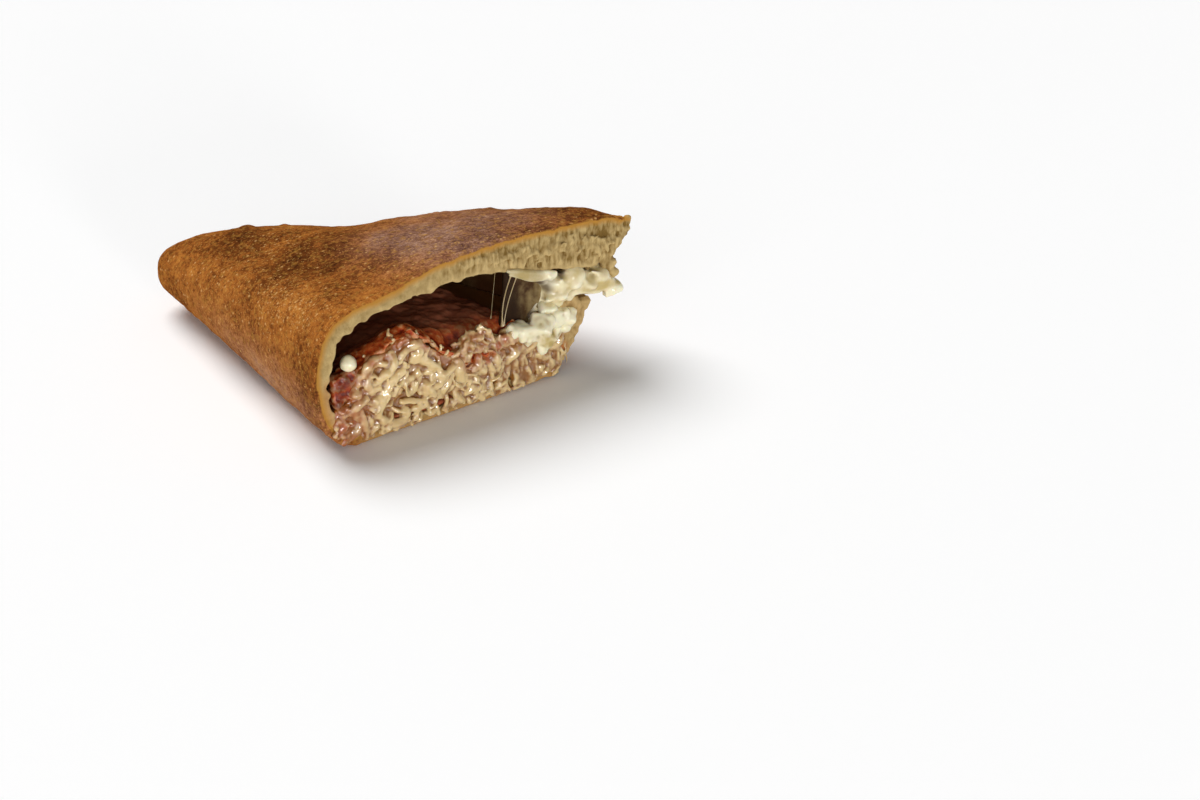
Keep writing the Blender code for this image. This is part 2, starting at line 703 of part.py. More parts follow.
def main():
    for obj in list(bpy.data.objects):
        bpy.data.objects.remove(obj)
    part = bpy.data.collections.new("panzerotto_half")
    cutters = bpy.data.collections.new("cutters")
    bpy.context.scene.collection.children.link(part)
    bpy.context.scene.collection.children.link(cutters)

    dough = make_material("baked_dough", CRUST_COLOUR, 0.55)
    crust = new_object("crust", build_crust_shell(), part, dough)
    join_pieces(crust, [build_flake()])
    tear = new_object("seam_tear", build_tear_cutter(), cutters)
    pores = new_object("crumb_pores", build_pore_cutters(random.Random(4)), cutters)
    cut_by(crust, tear)
    cut_by(crust, pores)

    cheese = make_material("cheese", CHEESE_COLOUR, 0.4)
    filling = new_object("cheese_filling", build_heap_core(), part, cheese)
    join_pieces(filling, build_shreds(random.Random(11)))

    sauce = make_material("sauce", SAUCE_COLOUR, 0.3)
    new_object("tomato_sauce", build_sauce(), part, sauce)
    new_object("lower_sauce", build_lower_sauce(), part, make_material("baked_sauce", SAUCE_COLOUR, 0.45))

    melted = new_object("melted_cheese", build_flap(), part, make_material("melted", MELTED_COLOUR, 0.28))
    join_pieces(melted, build_melted_pieces())
    new_object("cheese_curd", build_curd(), part, make_material("curd", MELTED_COLOUR, 0.35))
    string_material = make_material("string_cheese", MELTED_COLOUR, 0.25)
    for number, (foot, head, radius) in enumerate(STRINGS, 1):
        new_object(f"cheese_string_{number}", build_string(foot, head, radius), part, string_material)

    holder = centre_on_origin(part.objects)
    for obj in [*part.objects, *cutters.objects]:
        obj.parent = holder


main()
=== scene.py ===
import functools
import math
import random

import bpy
import numpy as np
from mathutils import Euler, Matrix, Vector, kdtree, noise
from mathutils.bvhtree import BVHTree


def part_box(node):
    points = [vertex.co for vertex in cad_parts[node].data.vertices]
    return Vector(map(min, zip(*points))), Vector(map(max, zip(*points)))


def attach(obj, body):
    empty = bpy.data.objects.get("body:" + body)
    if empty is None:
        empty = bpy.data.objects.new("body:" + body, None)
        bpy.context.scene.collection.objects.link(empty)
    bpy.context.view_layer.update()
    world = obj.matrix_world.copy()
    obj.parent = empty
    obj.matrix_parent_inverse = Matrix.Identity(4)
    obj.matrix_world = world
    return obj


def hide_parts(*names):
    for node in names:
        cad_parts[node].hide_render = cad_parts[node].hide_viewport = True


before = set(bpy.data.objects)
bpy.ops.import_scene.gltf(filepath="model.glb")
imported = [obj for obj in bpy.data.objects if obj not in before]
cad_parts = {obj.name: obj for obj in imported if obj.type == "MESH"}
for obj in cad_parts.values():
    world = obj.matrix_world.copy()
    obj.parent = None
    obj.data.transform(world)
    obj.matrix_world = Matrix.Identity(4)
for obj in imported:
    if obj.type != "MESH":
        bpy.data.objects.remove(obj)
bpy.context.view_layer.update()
mm = 0.001

# places are given in millimetres from the foot of the fold in the cut plane:
# x out of the cut, y towards the seam, z up. The round curd tells where that foot is.
curdPlace = Vector((-1.5, 4.6, 35.4))
curdLow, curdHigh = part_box("cheese_curd")
cutFoot = (curdLow + curdHigh) / 2 - curdPlace * mm


def at(x, y, z):
    return cutFoot + Vector((x, y, z)) * mm


def fromFoot(point):
    return (point - cutFoot) / mm


def mix(a, b, share):
    return a + (b - a) * share


def ease(low, high, value):
    t = min(max((value - low) / (high - low), 0.0), 1.0)
    return t * t * (3 - 2 * t)


def lumps(point, size, seed):
    # smooth noise from -1 to 1, its lumps about that many millimetres across
    return noise.noise(point / size + Vector((seed, 0.7 * seed, -seed)))


def cells(point, size, seed):
    # distances to the nearest two of scattered points, in shares of their spacing
    return noise.voronoi(point / size + Vector((seed, -seed, 0.4 * seed)))[0][:2]


def duplicate(piece, name):
    copy = piece.copy()
    copy.data = piece.data.copy()
    copy.name = name
    bpy.context.scene.collection.objects.link(copy)
    return copy


def spotAt(place, y, z, reachY, reachZ):
    # 1 at a spot of the cut, fading round it
    return math.exp(-(((place.y - y) / reachY) ** 2) - ((place.z - z) / reachZ) ** 2)


def selectOnly(*pieces):
    bpy.ops.object.select_all(action="DESELECT")
    for piece in pieces:
        piece.select_set(True)
    bpy.context.view_layer.objects.active = pieces[0]


def editAll(operator, **settings):
    # one edit-mode operator on the whole of the active piece
    bpy.ops.object.mode_set(mode="EDIT")
    bpy.ops.mesh.select_all(action="SELECT")
    operator(**settings)
    bpy.ops.object.mode_set(mode="OBJECT")


def copyNode(node, name):
    # a merged copy of a CAD node's mesh, as quads where its triangles pair up
    piece = bpy.data.objects.new(name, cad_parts[node].data.copy())
    bpy.context.scene.collection.objects.link(piece)
    piece.data.materials.clear()
    selectOnly(piece)
    bpy.ops.mesh.customdata_custom_splitnormals_clear()
    editAll(bpy.ops.mesh.remove_doubles, threshold=0.00001)
    editAll(bpy.ops.mesh.tris_convert_to_quads, face_threshold=0.7, shape_threshold=0.7)
    return piece


def applyModifier(piece, kind, **settings):
    selectOnly(piece)
    modifier = piece.modifiers.new(kind.title(), kind)
    for key, value in settings.items():
        setattr(modifier, key, value)
    bpy.ops.object.modifier_apply(modifier=modifier.name)


def roundOff(piece, levels):
    # subdivides a faceted mesh to a smooth one, with its sharp rims kept by creases
    sharpness = math.radians(50)
    selectOnly(piece)
    bpy.ops.object.mode_set(mode="EDIT")
    bpy.ops.mesh.select_all(action="DESELECT")
    bpy.ops.mesh.select_mode(type="EDGE")
    bpy.ops.mesh.edges_select_sharp(sharpness=sharpness)
    bpy.ops.transform.edge_crease(value=1)
    bpy.ops.mesh.select_mode(type="VERT")
    bpy.ops.object.mode_set(mode="OBJECT")
    applyModifier(piece, "SUBSURF", levels=levels, render_levels=levels)


# y and z that lie past the part on both sides
pastLow, pastHigh = (-40, -20), (160, 90)


def trimBetween(piece, lowX, highX):
    # keeps the stretch of a piece between two distances from the cut
    low, high = at(lowX, *pastLow), at(highX, *pastHigh)
    selectOnly(piece)
    bpy.ops.mesh.primitive_cube_add(size=1, location=(low + high) / 2)
    block = bpy.context.object
    block.scale = high - low
    applyModifier(piece, "BOOLEAN", operation="INTERSECT", solver="EXACT", object=block)
    bpy.data.objects.remove(block)


def fuse(piece, voxel, smoothing=0):
    # remeshes whatever overlaps in a piece to one closed skin, then evens it
    applyModifier(piece, "REMESH", mode="VOXEL", voxel_size=voxel * mm, use_smooth_shade=True)
    if smoothing:
        applyModifier(piece, "SMOOTH", factor=0.5, iterations=smoothing)


def pushOut(piece, height):
    # moves each point along its normal by height(place, normal), all in millimetres
    mesh = piece.data
    normals = [normal.vector.copy() for normal in mesh.vertex_normals]
    for vertex, normal in zip(mesh.vertices, normals):
        vertex.co += normal * height(fromFoot(vertex.co), normal) * mm
    mesh.update()


def shiftEach(piece, axis, distance):
    # moves each point along one axis by distance(place), in millimetres
    for vertex in piece.data.vertices:
        vertex.co[axis] += distance(fromFoot(vertex.co)) * mm


def paint(piece, **layers):
    # writes each layer as an attribute that materials read: one number, or what
    # value(place, normal) gives at each point
    mesh = piece.data
    for name, value in layers.items():
        layer = mesh.attributes.new(name, "FLOAT", "POINT")
        for vertex, normal in zip(mesh.vertices, mesh.vertex_normals):
            found = value(fromFoot(vertex.co), normal.vector) if callable(value) else value
            layer.data[vertex.index].value = found


def paintRelief(piece, reach, depth):
    # writes how far each point lies in a crevice (up to 1) or on a ridge (down to -1): it is
    # measured from the mean of its neighbours, taken reach times over. Materials paint shade into
    # the crevices and light onto the ridges from it
    mesh = piece.data
    places, normals = np.empty(3 * len(mesh.vertices)), np.empty(3 * len(mesh.vertices))
    mesh.vertices.foreach_get("co", places)
    mesh.vertex_normals.foreach_get("vector", normals)
    ends = np.empty(2 * len(mesh.edges), dtype=np.int32)
    mesh.edges.foreach_get("vertices", ends)
    places, normals, ends = places.reshape(-1, 3), normals.reshape(-1, 3), ends.reshape(-1, 2)
    here = np.concatenate((ends[:, 0], ends[:, 1]))
    there = np.concatenate((ends[:, 1], ends[:, 0]))
    number = np.bincount(here, minlength=len(places))
    middle = places.copy()
    for _ in range(reach):
        for axis in range(3):
            middle[:, axis] = np.bincount(here, middle[there, axis], len(places)) / number
    relief = ((middle - places) * normals).sum(axis=1) / (depth * mm)
    layer = mesh.attributes.new("relief", "FLOAT", "POINT")
    layer.data.foreach_set("value", np.clip(relief, -1, 1))


def joinAll(first, *others):
    selectOnly(first, *others)
    bpy.ops.object.join()
    return first


def makeStrands(name, strands, roundness=2, flatness=0.0):
    # each strand is a list of (x, y, z, half its thickness). A flat one is a twisted strip
    curve = bpy.data.curves.new(name, "CURVE")
    curve.dimensions = "3D"
    curve.bevel_depth = (1 - 0.5 * flatness) * mm
    curve.extrude = 0.7 * flatness * mm
    curve.bevel_resolution = roundness
    curve.use_fill_caps = True
    curve.resolution_u = 2
    for strand in strands:
        spline = curve.splines.new("NURBS")
        spline.points.add(len(strand) - 1)
        spline.order_u = 3
        spline.use_endpoint_u = True
        for count, (point, (x, y, z, half)) in enumerate(zip(spline.points, strand)):
            point.co = (*at(x, y, z), 1)
            point.radius = half
            point.tilt = flatness * (40 * strand[0][0] + 0.45 * count)
    piece = bpy.data.objects.new(name, curve)
    bpy.context.scene.collection.objects.link(piece)
    selectOnly(piece)
    bpy.ops.object.convert(target="MESH")
    return bpy.context.object


def makeLumps(name, places, detail=2, blocky=False, turned=1.0):
    # one ball or block, copied for each (x, y, z, half size along x, y and z)
    bpy.ops.object.select_all(action="DESELECT")
    if blocky:
        bpy.ops.mesh.primitive_cube_add(size=1.6 * mm)
    else:
        bpy.ops.mesh.primitive_ico_sphere_add(subdivisions=detail, radius=mm)
    ball = bpy.context.object
    copies = []
    for count, (x, y, z, *half) in enumerate(places):
        copy = duplicate(ball, name)
        turn = Euler([speed * turned * count for speed in (0.9, 0.4, 1.3)]).to_matrix().to_4x4()
        copy.data.transform(Matrix.Translation(at(x, y, z)) @ turn @ Matrix.Diagonal((*half, 1)))
        copies.append(copy)
    bpy.data.objects.remove(ball)
    return joinAll(*copies)


# points lower than this are drawn together above the floor, so that what hangs to it lies on it
nearFloor = 0.4 * mm


def finishPiece(piece, material, slot, *nodes):
    for vertex in piece.data.vertices:
        if vertex.co.z < nearFloor:
            vertex.co.z = nearFloor * math.exp(vertex.co.z / nearFloor - 1)
    piece.data.materials.clear()
    piece.data.materials.append(material)
    piece.data.shade_smooth()
    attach(piece, "root")
    if nodes:
        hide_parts(*nodes)
    print(piece.name, len(piece.data.polygons), "faces")


def linear(hexColour):
    # sRGB hex to the linear colour that sockets take
    found = []
    for k in (1, 3, 5):
        share = int(hexColour[k : k + 2], 16) / 255
        found.append(share / 12.92 if share <= 0.04045 else ((share + 0.055) / 1.055) ** 2.4)
    return (*found, 1.0)


def feed(node, values):
    # values name a property, a socket with what feeds it or its value, or the ramp's stops
    for key, value in values.items():
        if key == "stops":
            ramp = node.color_ramp.elements
            while len(ramp) < len(value):
                ramp.new(0.5)
            for stop, (place, colour) in zip(ramp, value):
                stop.position = place
                stop.color = linear(colour)
        elif isinstance(value, bpy.types.NodeSocket):
            node.id_data.links.new(value, node.inputs[key])
        elif isinstance(value, str) and value.startswith("#"):
            node.inputs[key].default_value = linear(value)
        elif isinstance(key, int) or key in node.inputs:
            node.inputs[key].default_value = value
        else:
            setattr(node, key, value)


def addNode(tree, kind, values, output=0):
    node = tree.nodes.new("ShaderNode" + kind)
    feed(node, values)
    return node.outputs[output]


def newMaterial(name, layers=(), noises=None):
    # a material, its shader, what adds its nodes, and what they read by name: the attributes,
    # the place, and noises with their size in millimetres, detail and roughness
    material = bpy.data.materials.new(name)
    material.use_nodes = True
    add = functools.partial(addNode, material.node_tree)
    layer = {key: add("Attribute", {"attribute_name": key}, "Fac") for key in layers}
    if noises:
        layer["place"] = add("TexCoord", {}, "Object")
    for key, (size, detail, roughness) in (noises or {}).items():
        values = {"Scale": 1 / (size * mm), "Detail": detail, "Roughness": roughness}
        layer[key] = add("TexNoise", {**values, "Vector": layer["place"]})
    return material, material.node_tree.nodes["Principled BSDF"], add, layer


def hang(name, data, location, turn):
    # a camera or a lamp in its place
    holder = bpy.data.objects.new(name, data)
    holder.location = location
    holder.rotation_mode = "QUATERNION"
    holder.rotation_quaternion = turn
    bpy.context.scene.collection.objects.link(holder)
    return holder


# the camera stands where the photo was taken from: the view is 53 degrees round from the
# fold and 29 degrees up, and the foot of the cut falls on that place of the image
cameraView = {
    "azimuth": 53, "elevation": 29, "lens": 60, "sensor": 36, "distance": 720,
    "footAt": (345, 450), "image": (1200, 800),
}


def makeCamera(view):
    azimuth, elevation = math.radians(view["azimuth"]), math.radians(view["elevation"])
    level = math.cos(elevation)
    back = Vector((math.sin(azimuth) * level, -math.cos(azimuth) * level, math.sin(elevation)))
    right = Vector((math.cos(azimuth), math.sin(azimuth), 0))
    up = back.cross(right)
    perPixel = view["sensor"] / view["lens"] / view["image"][0]
    across = view["footAt"][0] - view["image"][0] / 2
    above = view["image"][1] / 2 - view["footAt"][1]
    ray = right * across * perPixel + up * above * perPixel - back
    camera = bpy.data.cameras.new("Camera")
    camera.lens = view["lens"]
    camera.sensor_width = view["sensor"]
    camera.clip_start = 0.01
    camera.dof.use_dof = False
    location = at(0, 0, 0) - ray * view["distance"] * mm
    bpy.context.scene.camera = hang("Camera", camera, location, (-back).to_track_quat("-Z", "Y"))


makeCamera(cameraView)
print("camera placed")

# soft studio light: a broad key from high behind the tip, a low broad fill and a narrower
# glint from before the cut, and a white room
studio = {
    "lamps": {
        "key": {"from": (-0.6, -0.1, 0.95), "spread": 40, "strength": 2.7},
        "fill": {"from": (0.62, -0.66, 0.07), "spread": 60, "strength": 1.3},
        "glint": {"from": (0.75, -0.1, 0.1), "spread": 10, "strength": 0.95},
    },
    "room": 0.155,
    "floor": "#ffffff",
    "floorSize": 8,
    "floorRoughness": 0.8,
}


def makeStudio(studio):
    for name, settings in studio["lamps"].items():
        lamp = bpy.data.lights.new(name, "SUN")
        lamp.angle = math.radians(settings["spread"])
        lamp.energy = settings["strength"]
        hang(name, lamp, settings["from"], Vector(settings["from"]).to_track_quat("Z", "Y"))
    world = bpy.data.worlds.new("Room")
    world.use_nodes = True
    feed(world.node_tree.nodes["Background"], {"Color": "#ffffff", "Strength": studio["room"]})
    bpy.context.scene.world = world
    bpy.ops.object.select_all(action="DESELECT")
    bpy.ops.mesh.primitive_plane_add(size=studio["floorSize"])
    floor = bpy.context.object
    floor.name = "tableTop"
    material, shader, _, _ = newMaterial("whiteTable")
    feed(shader, {"Base Color": studio["floor"], "Roughness": studio["floorRoughness"]})
    floor.data.materials.append(material)
    bpy.context.scene.view_settings.view_transform = "Standard"


makeStudio(studio)
print("studio lit")

# baked wheat dough: a skin mottled golden to brown with fine pale blisters, partly painted glints;
# its satin sheen painted as a purplish tone on the top, that tone being painted shade low on the
# fold side, and wrinkled where it lies; and a matte crumb with painted shade in its pores and
# crevices, its pocket's wall darker, partly sauce stain and partly painted shade. Sizes and depths
# are in millimetres, and each mottle's amount shifts the browning
doughLook = {
    "skin": ((0.0, "#c07c36"), (0.3, "#a4622a"), (0.6, "#713e1a"), (1.0, "#3d1f0e")),
    # painted sheen and shade: a purplish tone for the top's sheen and for shade low on the fold
    # side
    "dusky": ((0.1, "#bd9780"), (0.45, "#8a6454"), (0.9, "#4f3126")),
    "noises": {
        "fine": (0.6, 4.0, 0.65),
        "grain": (2.2, 4.0, 0.6),
        "broadMottle": (14.0, 3.0, 0.6),
        "mottle": (4.5, 3.0, 0.6),
        "smallMottle": (1.6, 3.0, 0.6),
        "fineMottle": (0.7, 3.0, 0.6),
    },
    "mottles": {"broadMottle": 0.6, "mottle": 0.7, "smallMottle": 1.0, "fineMottle": 0.9},
    # pale dots, partly blisters and partly painted glints
    "blisterAndGlintDots": ((0.8, 1.3, "#d8a25c"), (1.7, 0.6, "#dfae6e")),
    "blisterDot": {"From Min": 0.42, "From Max": 0.1, "To Max": 0.8},
    "blisterHeight": 0.6,
    "pinholes": 3.1, "pinhole": "#2e170c",
    "pinholeDot": {"From Min": 0.13, "From Max": 0.07, "To Max": 0.7},
    "wrinkleSize": (7, 1.1, 2), "wrinkleTurn": 53, "wrinkle": "#4a2a1c",
    "wrinkleLine": {"From Max": 0.3, "To Min": 1.0, "To Max": 0.0},
    "wrinkleHeight": -0.3, "wrinkleShare": 0.3,
    "grainTone": {"From Min": 0.35, "From Max": 0.75, "To Max": 0.4},
    "cell": (1.3, 1.3, 4.5),
    "cellTone": {"From Min": 0.35, "From Max": 0.68, "To Min": -0.25, "To Max": 0.38},
    "creviceShadeTone": 0.3,
    "crumb": "#ccb17b", "pore": "#7f6334", "blush": "#bd7440", "cavity": "#684126",
    "rim": "#b9853c", "floorRim": "#bb925a",
    "unevenness": 1.6,
    "rimDepths": (0.8, 1.4),
    "crumbDepths": (1.7, 3.8),
    "roughness": {"From Max": 1.5, "To Min": 0.42, "To Max": 0.85},
    "bump": {"Strength": 0.75, "Distance": 0.3 * mm},
}


def makeDough(look):
    skinLayers = ("bake", "dusky", "specks", "depth", "soft")
    crumbLayers = ("stain", "hollow", "blush", "relief", "opened")
    names = skinLayers + crumbLayers
    material, shader, add, layer = newMaterial("bakedDough", names, look["noises"])

    tone = layer["bake"]
    for key, amount in look["mottles"].items():
        values = {"operation": "MULTIPLY_ADD", 0: layer[key], 1: amount, 2: -0.5 * amount}
        tone = add("Math", {"operation": "ADD", 0: tone, 1: add("Math", values)})
    skin = add("ValToRGB", {"stops": look["skin"], "Fac": tone})
    # painted sheen and shade: the purplish tone mixed into the skin
    dusky = add("ValToRGB", {"stops": look["dusky"], "Fac": tone})
    skin = add("Mix", {"data_type": "RGBA", 0: layer["dusky"], 6: skin, 7: dusky}, 2)

    place, relief = layer["place"], layer["fine"]
    # pale dots, partly blisters and partly painted glints, where the patches allow
    for spacing, share, colour in look["blisterAndGlintDots"]:
        near = add("TexVoronoi", {"Scale": 1 / (spacing * mm), "Vector": place})
        dot = add("MapRange", {**look["blisterDot"], "Value": near})
        chosen = add("SeparateColor", {"Color": near.node.outputs["Color"]})
        limit = add("Math", {"operation": "MULTIPLY", 0: layer["specks"], 1: share})
        picked = add("Math", {"operation": "LESS_THAN", 0: chosen, 1: limit})
        dot = add("Math", {"operation": "MULTIPLY", 0: dot, 1: picked})
        skin = add("Mix", {"data_type": "RGBA", 0: dot, 6: skin, 7: colour}, 2)
        values = {"operation": "MULTIPLY_ADD", 0: dot, 1: look["blisterHeight"], 2: relief}
        relief = add("Math", values)
    near = add("TexVoronoi", {"Scale": 1 / (look["pinholes"] * mm), "Vector": place})
    hole = add("MapRange", {**look["pinholeDot"], "Value": near})

    # wrinkles run across the top, along the cut's slant, only where the painted sheen and shade
    # lie
    values = {
        "vector_type": "TEXTURE",
        "Vector": place,
        "Rotation": (0, 0, math.radians(look["wrinkleTurn"])),
        "Scale": [side * mm for side in look["wrinkleSize"]],
    }
    line = add("TexNoise", {"Scale": 1.0, "Detail": 3.0, "Vector": add("Mapping", values)})
    line = add("Math", {"operation": "MULTIPLY_ADD", 0: line, 1: 2.0, 2: -1.0})
    line = add("Math", {"operation": "ABSOLUTE", 0: line})
    line = add("MapRange", {**look["wrinkleLine"], "Value": line})
    line = add("Math", {"operation": "MULTIPLY", 0: line, 1: layer["dusky"]})
    values = {"operation": "MULTIPLY_ADD", 0: line, 1: look["wrinkleHeight"], 2: relief}
    relief = add("Math", values)
    line = add("Math", {"operation": "MULTIPLY", 0: line, 1: look["wrinkleShare"]})
    for share, cover in ((hole, look["pinhole"]), (line, look["wrinkle"])):
        skin = add("Mix", {"data_type": "RGBA", 0: share, 6: skin, 7: cover}, 2)

    # the dough rose upwards, so the crumb's cells stand upright
    tone = add("MapRange", {**look["grainTone"], "Value": layer["grain"]})
    tone = add("Math", {"operation": "ADD", 0: tone, 1: layer["hollow"]})
    cell = [side * mm for side in look["cell"]]
    upright = add("Mapping", {"vector_type": "TEXTURE", "Vector": place, "Scale": cell})
    upright = add("TexNoise", {"Scale": 1.0, "Detail": 2.0, "Vector": upright})
    upright = add("MapRange", {**look["cellTone"], "Value": upright})
    tone = add("Math", {"operation": "MULTIPLY_ADD", 0: upright, 1: layer["opened"], 2: tone})
    # painted shade: the crumb's crevices are darker by their relief, its ridges lighter
    values = {"operation": "MULTIPLY_ADD", 0: layer["relief"], "use_clamp": True}
    tone = add("Math", {**values, 1: look["creviceShadeTone"], 2: tone})
    crumb = look["crumb"]
    # the pores take the crumb's painted shade, and the pocket's wall its colour, partly stain and
    # partly painted shade
    for share, cover in ((tone, "pore"), (layer["blush"], "blush"), (layer["stain"], "cavity")):
        crumb = add("Mix", {"data_type": "RGBA", 0: share, 6: crumb, 7: look[cover]}, 2)

    # from the skin inwards: a baked rim, then the crumb, with an uneven border
    values = {"data_type": "RGBA", 0: layer["soft"], 7: look["floorRim"]}
    skin, rim = (add("Mix", {**values, 6: under}, 2) for under in (skin, look["rim"]))
    values = {"operation": "MULTIPLY_ADD", 0: layer["grain"], 2: layer["depth"]}
    depth = add("Math", {**values, 1: look["unevenness"]})
    for (start, end), cover in ((look["rimDepths"], rim), (look["crumbDepths"], crumb)):
        share = add("MapRange", {"From Min": start, "From Max": end, "Value": depth})
        skin = add("Mix", {"data_type": "RGBA", 0: share, 6: skin, 7: cover}, 2)

    roughness = add("MapRange", {**look["roughness"], "Value": layer["depth"]})
    bump = add("Bump", {**look["bump"], "Height": relief})
    feed(shader, {"Base Color": skin, "Roughness": roughness, "Normal": bump})
    feed(shader, {"Specular IOR Level": 0.0})
    return material


# part-melted and melted cheese: waxy and a little see-through, glossy where oil has
# gathered, with painted shade in its crevices and behind the cut and painted light on its ridges,
# and tinted by the sauce. Mottles are in millimetres
cheeseLooks = {
    "partMeltedCheese": {
        "light": "#e6c990", "deep": "#a06a31", "creviceShade": "#75491f",
        "roughness": 0.14, "mottles": 5.0, "shine": 0.8, "oil": 1.0,
    },
    # the film in the pocket: dark, partly its own brown and partly painted shade
    "brownAndShadedCheeseFilm": {
        "light": "#a38c5e", "deep": "#472c12", "creviceShade": "#2c1a0b",
        "roughness": 0.6, "mottles": 3.5, "shine": 0.15, "oil": 0.0,
    },
    "meltedCheese": {
        "light": "#fbf1cf", "deep": "#c8b06c", "creviceShade": "#4a3015",
        "roughness": 0.26, "mottles": 9.0, "shine": 0.5, "oil": 0.3,
    },
}
sauceTint = "#ad5424"
cheeseFlesh = {
    "Coat Roughness": 0.07, "Subsurface Weight": 0.4, "Subsurface Radius": (1.0, 0.75, 0.4),
    "Subsurface Scale": 1.2 * mm,
}


def makeCheese(name):
    look = cheeseLooks[name]
    noises = {"mottles": (look["mottles"], 4.0, 0.6), "fine": (0.9, 3.0, 0.6)}
    names = ("tint", "pale", "hollow", "relief")
    material, shader, add, layer = newMaterial(name, names, noises)
    tone = add("MapRange", {"From Min": 0.35, "From Max": 0.65, "Value": layer["mottles"]})
    tone = add("Math", {"operation": "MULTIPLY_ADD", 0: tone, 1: 0.5, 2: layer["pale"]})
    # painted shade and light: crevices and what lies behind the cut take the deep and crevice
    # colours, ridges the light one
    values = {"operation": "MULTIPLY_ADD", 0: layer["relief"], "use_clamp": True}
    tone = add("Math", {**values, 1: 0.7, 2: tone})
    gap = add("Math", {**values, 1: 0.85, 2: -0.1})
    gap = add("Math", {"operation": "MAXIMUM", 0: gap, 1: layer["hollow"]})
    colour = look["light"]
    for share, cover in ((tone, look["deep"]), (gap, look["creviceShade"]), (layer["tint"], sauceTint)):
        colour = add("Mix", {"data_type": "RGBA", 0: share, 6: colour, 7: cover}, 2)
    values = {"To Min": look["roughness"], "To Max": 0.7, "Value": layer["hollow"]}
    roughness = add("MapRange", values)
    bump = add("Bump", {"Strength": 0.2, "Distance": 0.25 * mm, "Height": layer["fine"]})
    feed(shader, {"Base Color": colour, "Roughness": roughness, "Normal": bump})
    feed(shader, {"Specular IOR Level": look["shine"], "Coat Weight": look["oil"]})
    feed(shader, cheeseFlesh)
    return material


# tomato sauce, baked: wet and bright where the cut opened it, dull and brown in the pocket
# and dark at the folded side
sauceLook = {
    "noises": {"tone": (3.5, 5.0, 0.65), "fine": (1.0, 4.0, 0.6)},
    "stops": ((0.28, "#762512"), (0.44, "#b0421d"), (0.58, "#c8642c"), (0.7, "#cf9160")),
    "deep": "#a46246",
    "shade": "#54180b",
    "flesh": {"Roughness": 0.24, "Subsurface Weight": 0.15, "Subsurface Scale": 1.0 * mm},
    "bump": {"Strength": 0.45, "Distance": 0.35 * mm},
}


def makeSauce(look):
    names = ("deep", "shade", "relief")
    material, shader, add, layer = newMaterial("bakedTomatoSauce", names, look["noises"])
    # painted shade: the sauce's crevices are darker and its ridges lighter
    values = {"operation": "MULTIPLY_ADD", 1: -0.25, "use_clamp": True}
    tone = add("Math", {**values, 0: layer["relief"], 2: layer["tone"]})
    colour = add("ValToRGB", {"stops": look["stops"], "Fac": tone})
    for key in ("deep", "shade"):
        colour = add("Mix", {"data_type": "RGBA", 0: layer[key], 6: colour, 7: look[key]}, 2)
    bump = add("Bump", {**look["bump"], "Height": layer["fine"]})
    feed(shader, {"Base Color": colour, "Normal": bump, **look["flesh"]})
    return material


dough = makeDough(doughLook)
gratedCheese = makeCheese("partMeltedCheese")
cheeseFilm = makeCheese("brownAndShadedCheeseFilm")
meltedCheese = makeCheese("meltedCheese")
sauce = makeSauce(sauceLook)
print("materials made")

# the crust: the CAD shell rounded off, its cut rim a finer ring so that the crumb can show
crustCut = {
    "pastTip": -200, "pastCut": 40, "ringBack": -4.0, "shellFront": -3.5, "ringVoxel": 0.4,
    "firstSmoothing": 2, "lastSmoothing": 4, "ringRelief": (8, 0.4), "shellVoxel": 0.95,
    "shellSmoothing": 3, "shellRelief": (3, 0.5),
}
# middle of the section, y and z, at the cut and at the tip, and how far back the tip lies
sectionMiddle = {"cut": (42, 28), "tip": (5, 16), "length": 149}


def facesOut(place, normal):
    # whether a point of the crust lies on its outer skin
    along = min(max(-place.x / sectionMiddle["length"], 0), 1)
    (cutY, cutZ), (tipY, tipZ) = sectionMiddle["cut"], sectionMiddle["tip"]
    outwards = place - Vector((0, mix(cutY, tipY, along), mix(cutZ, tipZ, along)))
    outwards.x = 0
    return outwards.dot(normal) > 0


# a thin fold of skin that stands up on the top near the tip, and single blisters
foldLine = ((-92, 10), (-88, 18), (-84, 27), (-79, 36))
bigBlisters = (
    ((-121, 29, 37), 3.2, 0.9),
    ((-110, 40, 39), 2.4, 0.6),
    ((-52, 100, 50), 2.2, 0.7),
    ((-9, 58, 62), 1.6, 0.5),
    ((-3, 9, 55), 1.6, 0.5),
    ((-20, -9, 27), 1.8, 0.5),
)


def foldRidge(place):
    nearest = 99
    for (ax, ay), (bx, by) in zip(foldLine, foldLine[1:]):
        run = Vector((bx - ax, by - ay))
        off = Vector((place.x - ax, place.y - ay))
        share = min(max(off.dot(run) / run.length_squared, 0), 1)
        nearest = min(nearest, (off - run * share).length)
    return 0.9 * math.exp(-((nearest / 1.0) ** 2)) - 0.35 * math.exp(-((nearest / 3.5) ** 2))


def skinRelief(place):
    relief = 0.30 * lumps(place, 9, 4) + 0.20 * lumps(place, 4, 7) + 0.10 * lumps(place, 2.2, 17)
    near, _ = cells(place, 5.5, 3)
    relief += 0.28 * ease(0.45, 0.15, near) * ease(-0.2, 0.5, lumps(place, 20, 11))
    if place.z > 30 and -96 < place.x < -74:
        relief += foldRidge(place)
    for middle, reach, height in bigBlisters:
        away = (place - Vector(middle)).length / reach
        if away < 1:
            relief += height * (1 - away * away)
    return relief


def crustHeight(place, normal):
    if facesOut(place, normal):
        return skinRelief(place) * ease(0.3, 3, place.z)
    broad = 1.0 * lumps(place, 13, 9) * ease(-2, -12, place.x)
    return broad + 0.5 * lumps(place, 5, 9) + 0.25 * lumps(place, 2.5, 5)


